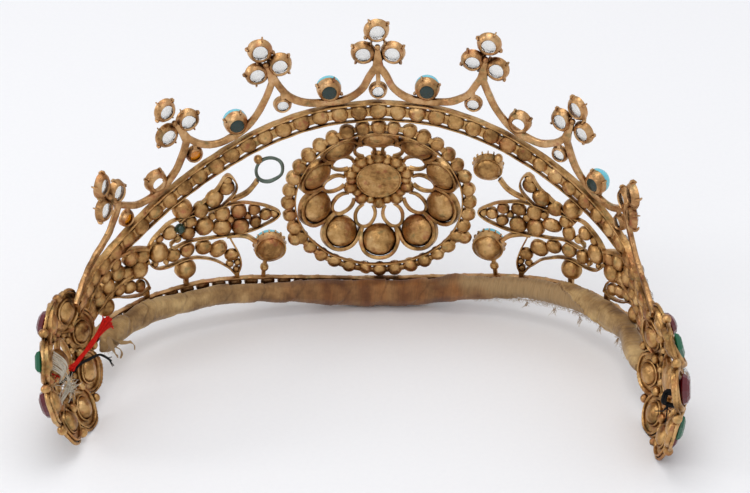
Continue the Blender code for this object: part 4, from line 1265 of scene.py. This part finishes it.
# Each lamp's name, place in metres, width in metres and power in watts.
LAMPS = (
    ("lamp_above", (0.0, -0.06, 0.85), 0.6, 2.05),
    ("lamp_front", (0.15, 0.55, 0.75), 0.5, 1.0),
    ("lamp_left", (0.8, 0.1, 0.35), 0.25, 1.0),
)
LAMP_AIM = (0, 0, 0.03)
CAMERA_DOWN = 0.5574
CAMERA_ROLL = -0.0089
CAMERA_DISTANCE = 600.0
CAMERA_AIM = (1.079 - BOX_MIDDLE_X, -BOX_MIDDLE_Y, 8.453 - FLOOR_H)
CAMERA_LENS = 115.2
CAMERA_SENSOR = 36.0


def white_paper():
    """Seamless white paper, uncoated: matt, with a faint grain.

    The real fibres are much finer than the grain, which is drawn every 1.1 mm.
    """
    material, shader, position = new_material("paper_matt_white")
    grain = add_node(material, "TexNoise", {"Scale": per_metre(1.111), "Detail": 3.0}, {"Vector": position})
    whites = {MIX_FIRST: linear("#EEEEF0"), MIX_SECOND: linear("#F2F2F3")}
    white = add_node(material, "Mix", {"data_type": "RGBA", **whites}, {MIX_SHARE: grain.outputs["Fac"]})
    shader.inputs["Roughness"].default_value = 0.9
    feed(material, shader, {"Base Color": white.outputs[MIXED]})
    return material


floor_corners = [(x * FLOOR_REACH, y * FLOOR_REACH, 0) for x, y in ((-1, -1), (1, -1), (1, 1), (-1, 1))]
floor_mesh = bpy.data.meshes.new("floor")
floor_mesh.from_pydata(floor_corners, [], [(0, 1, 2, 3)])
floor_mesh.materials.append(white_paper())
floor = bpy.data.objects.new("floor", floor_mesh)
bpy.context.scene.collection.objects.link(floor)

world = bpy.data.worlds.new("studio")
world.use_nodes = True
background = world.node_tree.nodes["Background"]
background.inputs["Color"].default_value = linear(STUDIO_COLOUR)
background.inputs["Strength"].default_value = STUDIO_STRENGTH
bpy.context.scene.world = world
bpy.context.scene.view_settings.view_transform = "Standard"

for name, spot, width, power in LAMPS:
    data = bpy.data.lights.new(name, "AREA")
    data.shape = "DISK"
    data.size = width
    data.energy = power
    lamp = bpy.data.objects.new(name, data)
    lamp.location = spot
    lamp.rotation_euler = (Vector(LAMP_AIM) - Vector(spot)).to_track_quat("-Z", "Y").to_euler()
    bpy.context.scene.collection.objects.link(lamp)

camera_data = bpy.data.cameras.new("camera")
camera_data.lens = CAMERA_LENS
camera_data.sensor_width = CAMERA_SENSOR
camera_data.clip_start = 10 * MM
back = Vector((0, math.cos(CAMERA_DOWN), math.sin(CAMERA_DOWN)))
camera_turn = Matrix(((-1, 0, 0), (0, -math.sin(CAMERA_DOWN), math.cos(CAMERA_DOWN)), back)).transposed()
camera = bpy.data.objects.new("camera", camera_data)
camera.matrix_world = (Matrix.Translation((Vector(CAMERA_AIM) + CAMERA_DISTANCE * back) * MM)
                       @ camera_turn.to_4x4() @ Matrix.Rotation(CAMERA_ROLL, 4, "Z"))
bpy.context.scene.collection.objects.link(camera)
bpy.context.scene.camera = camera
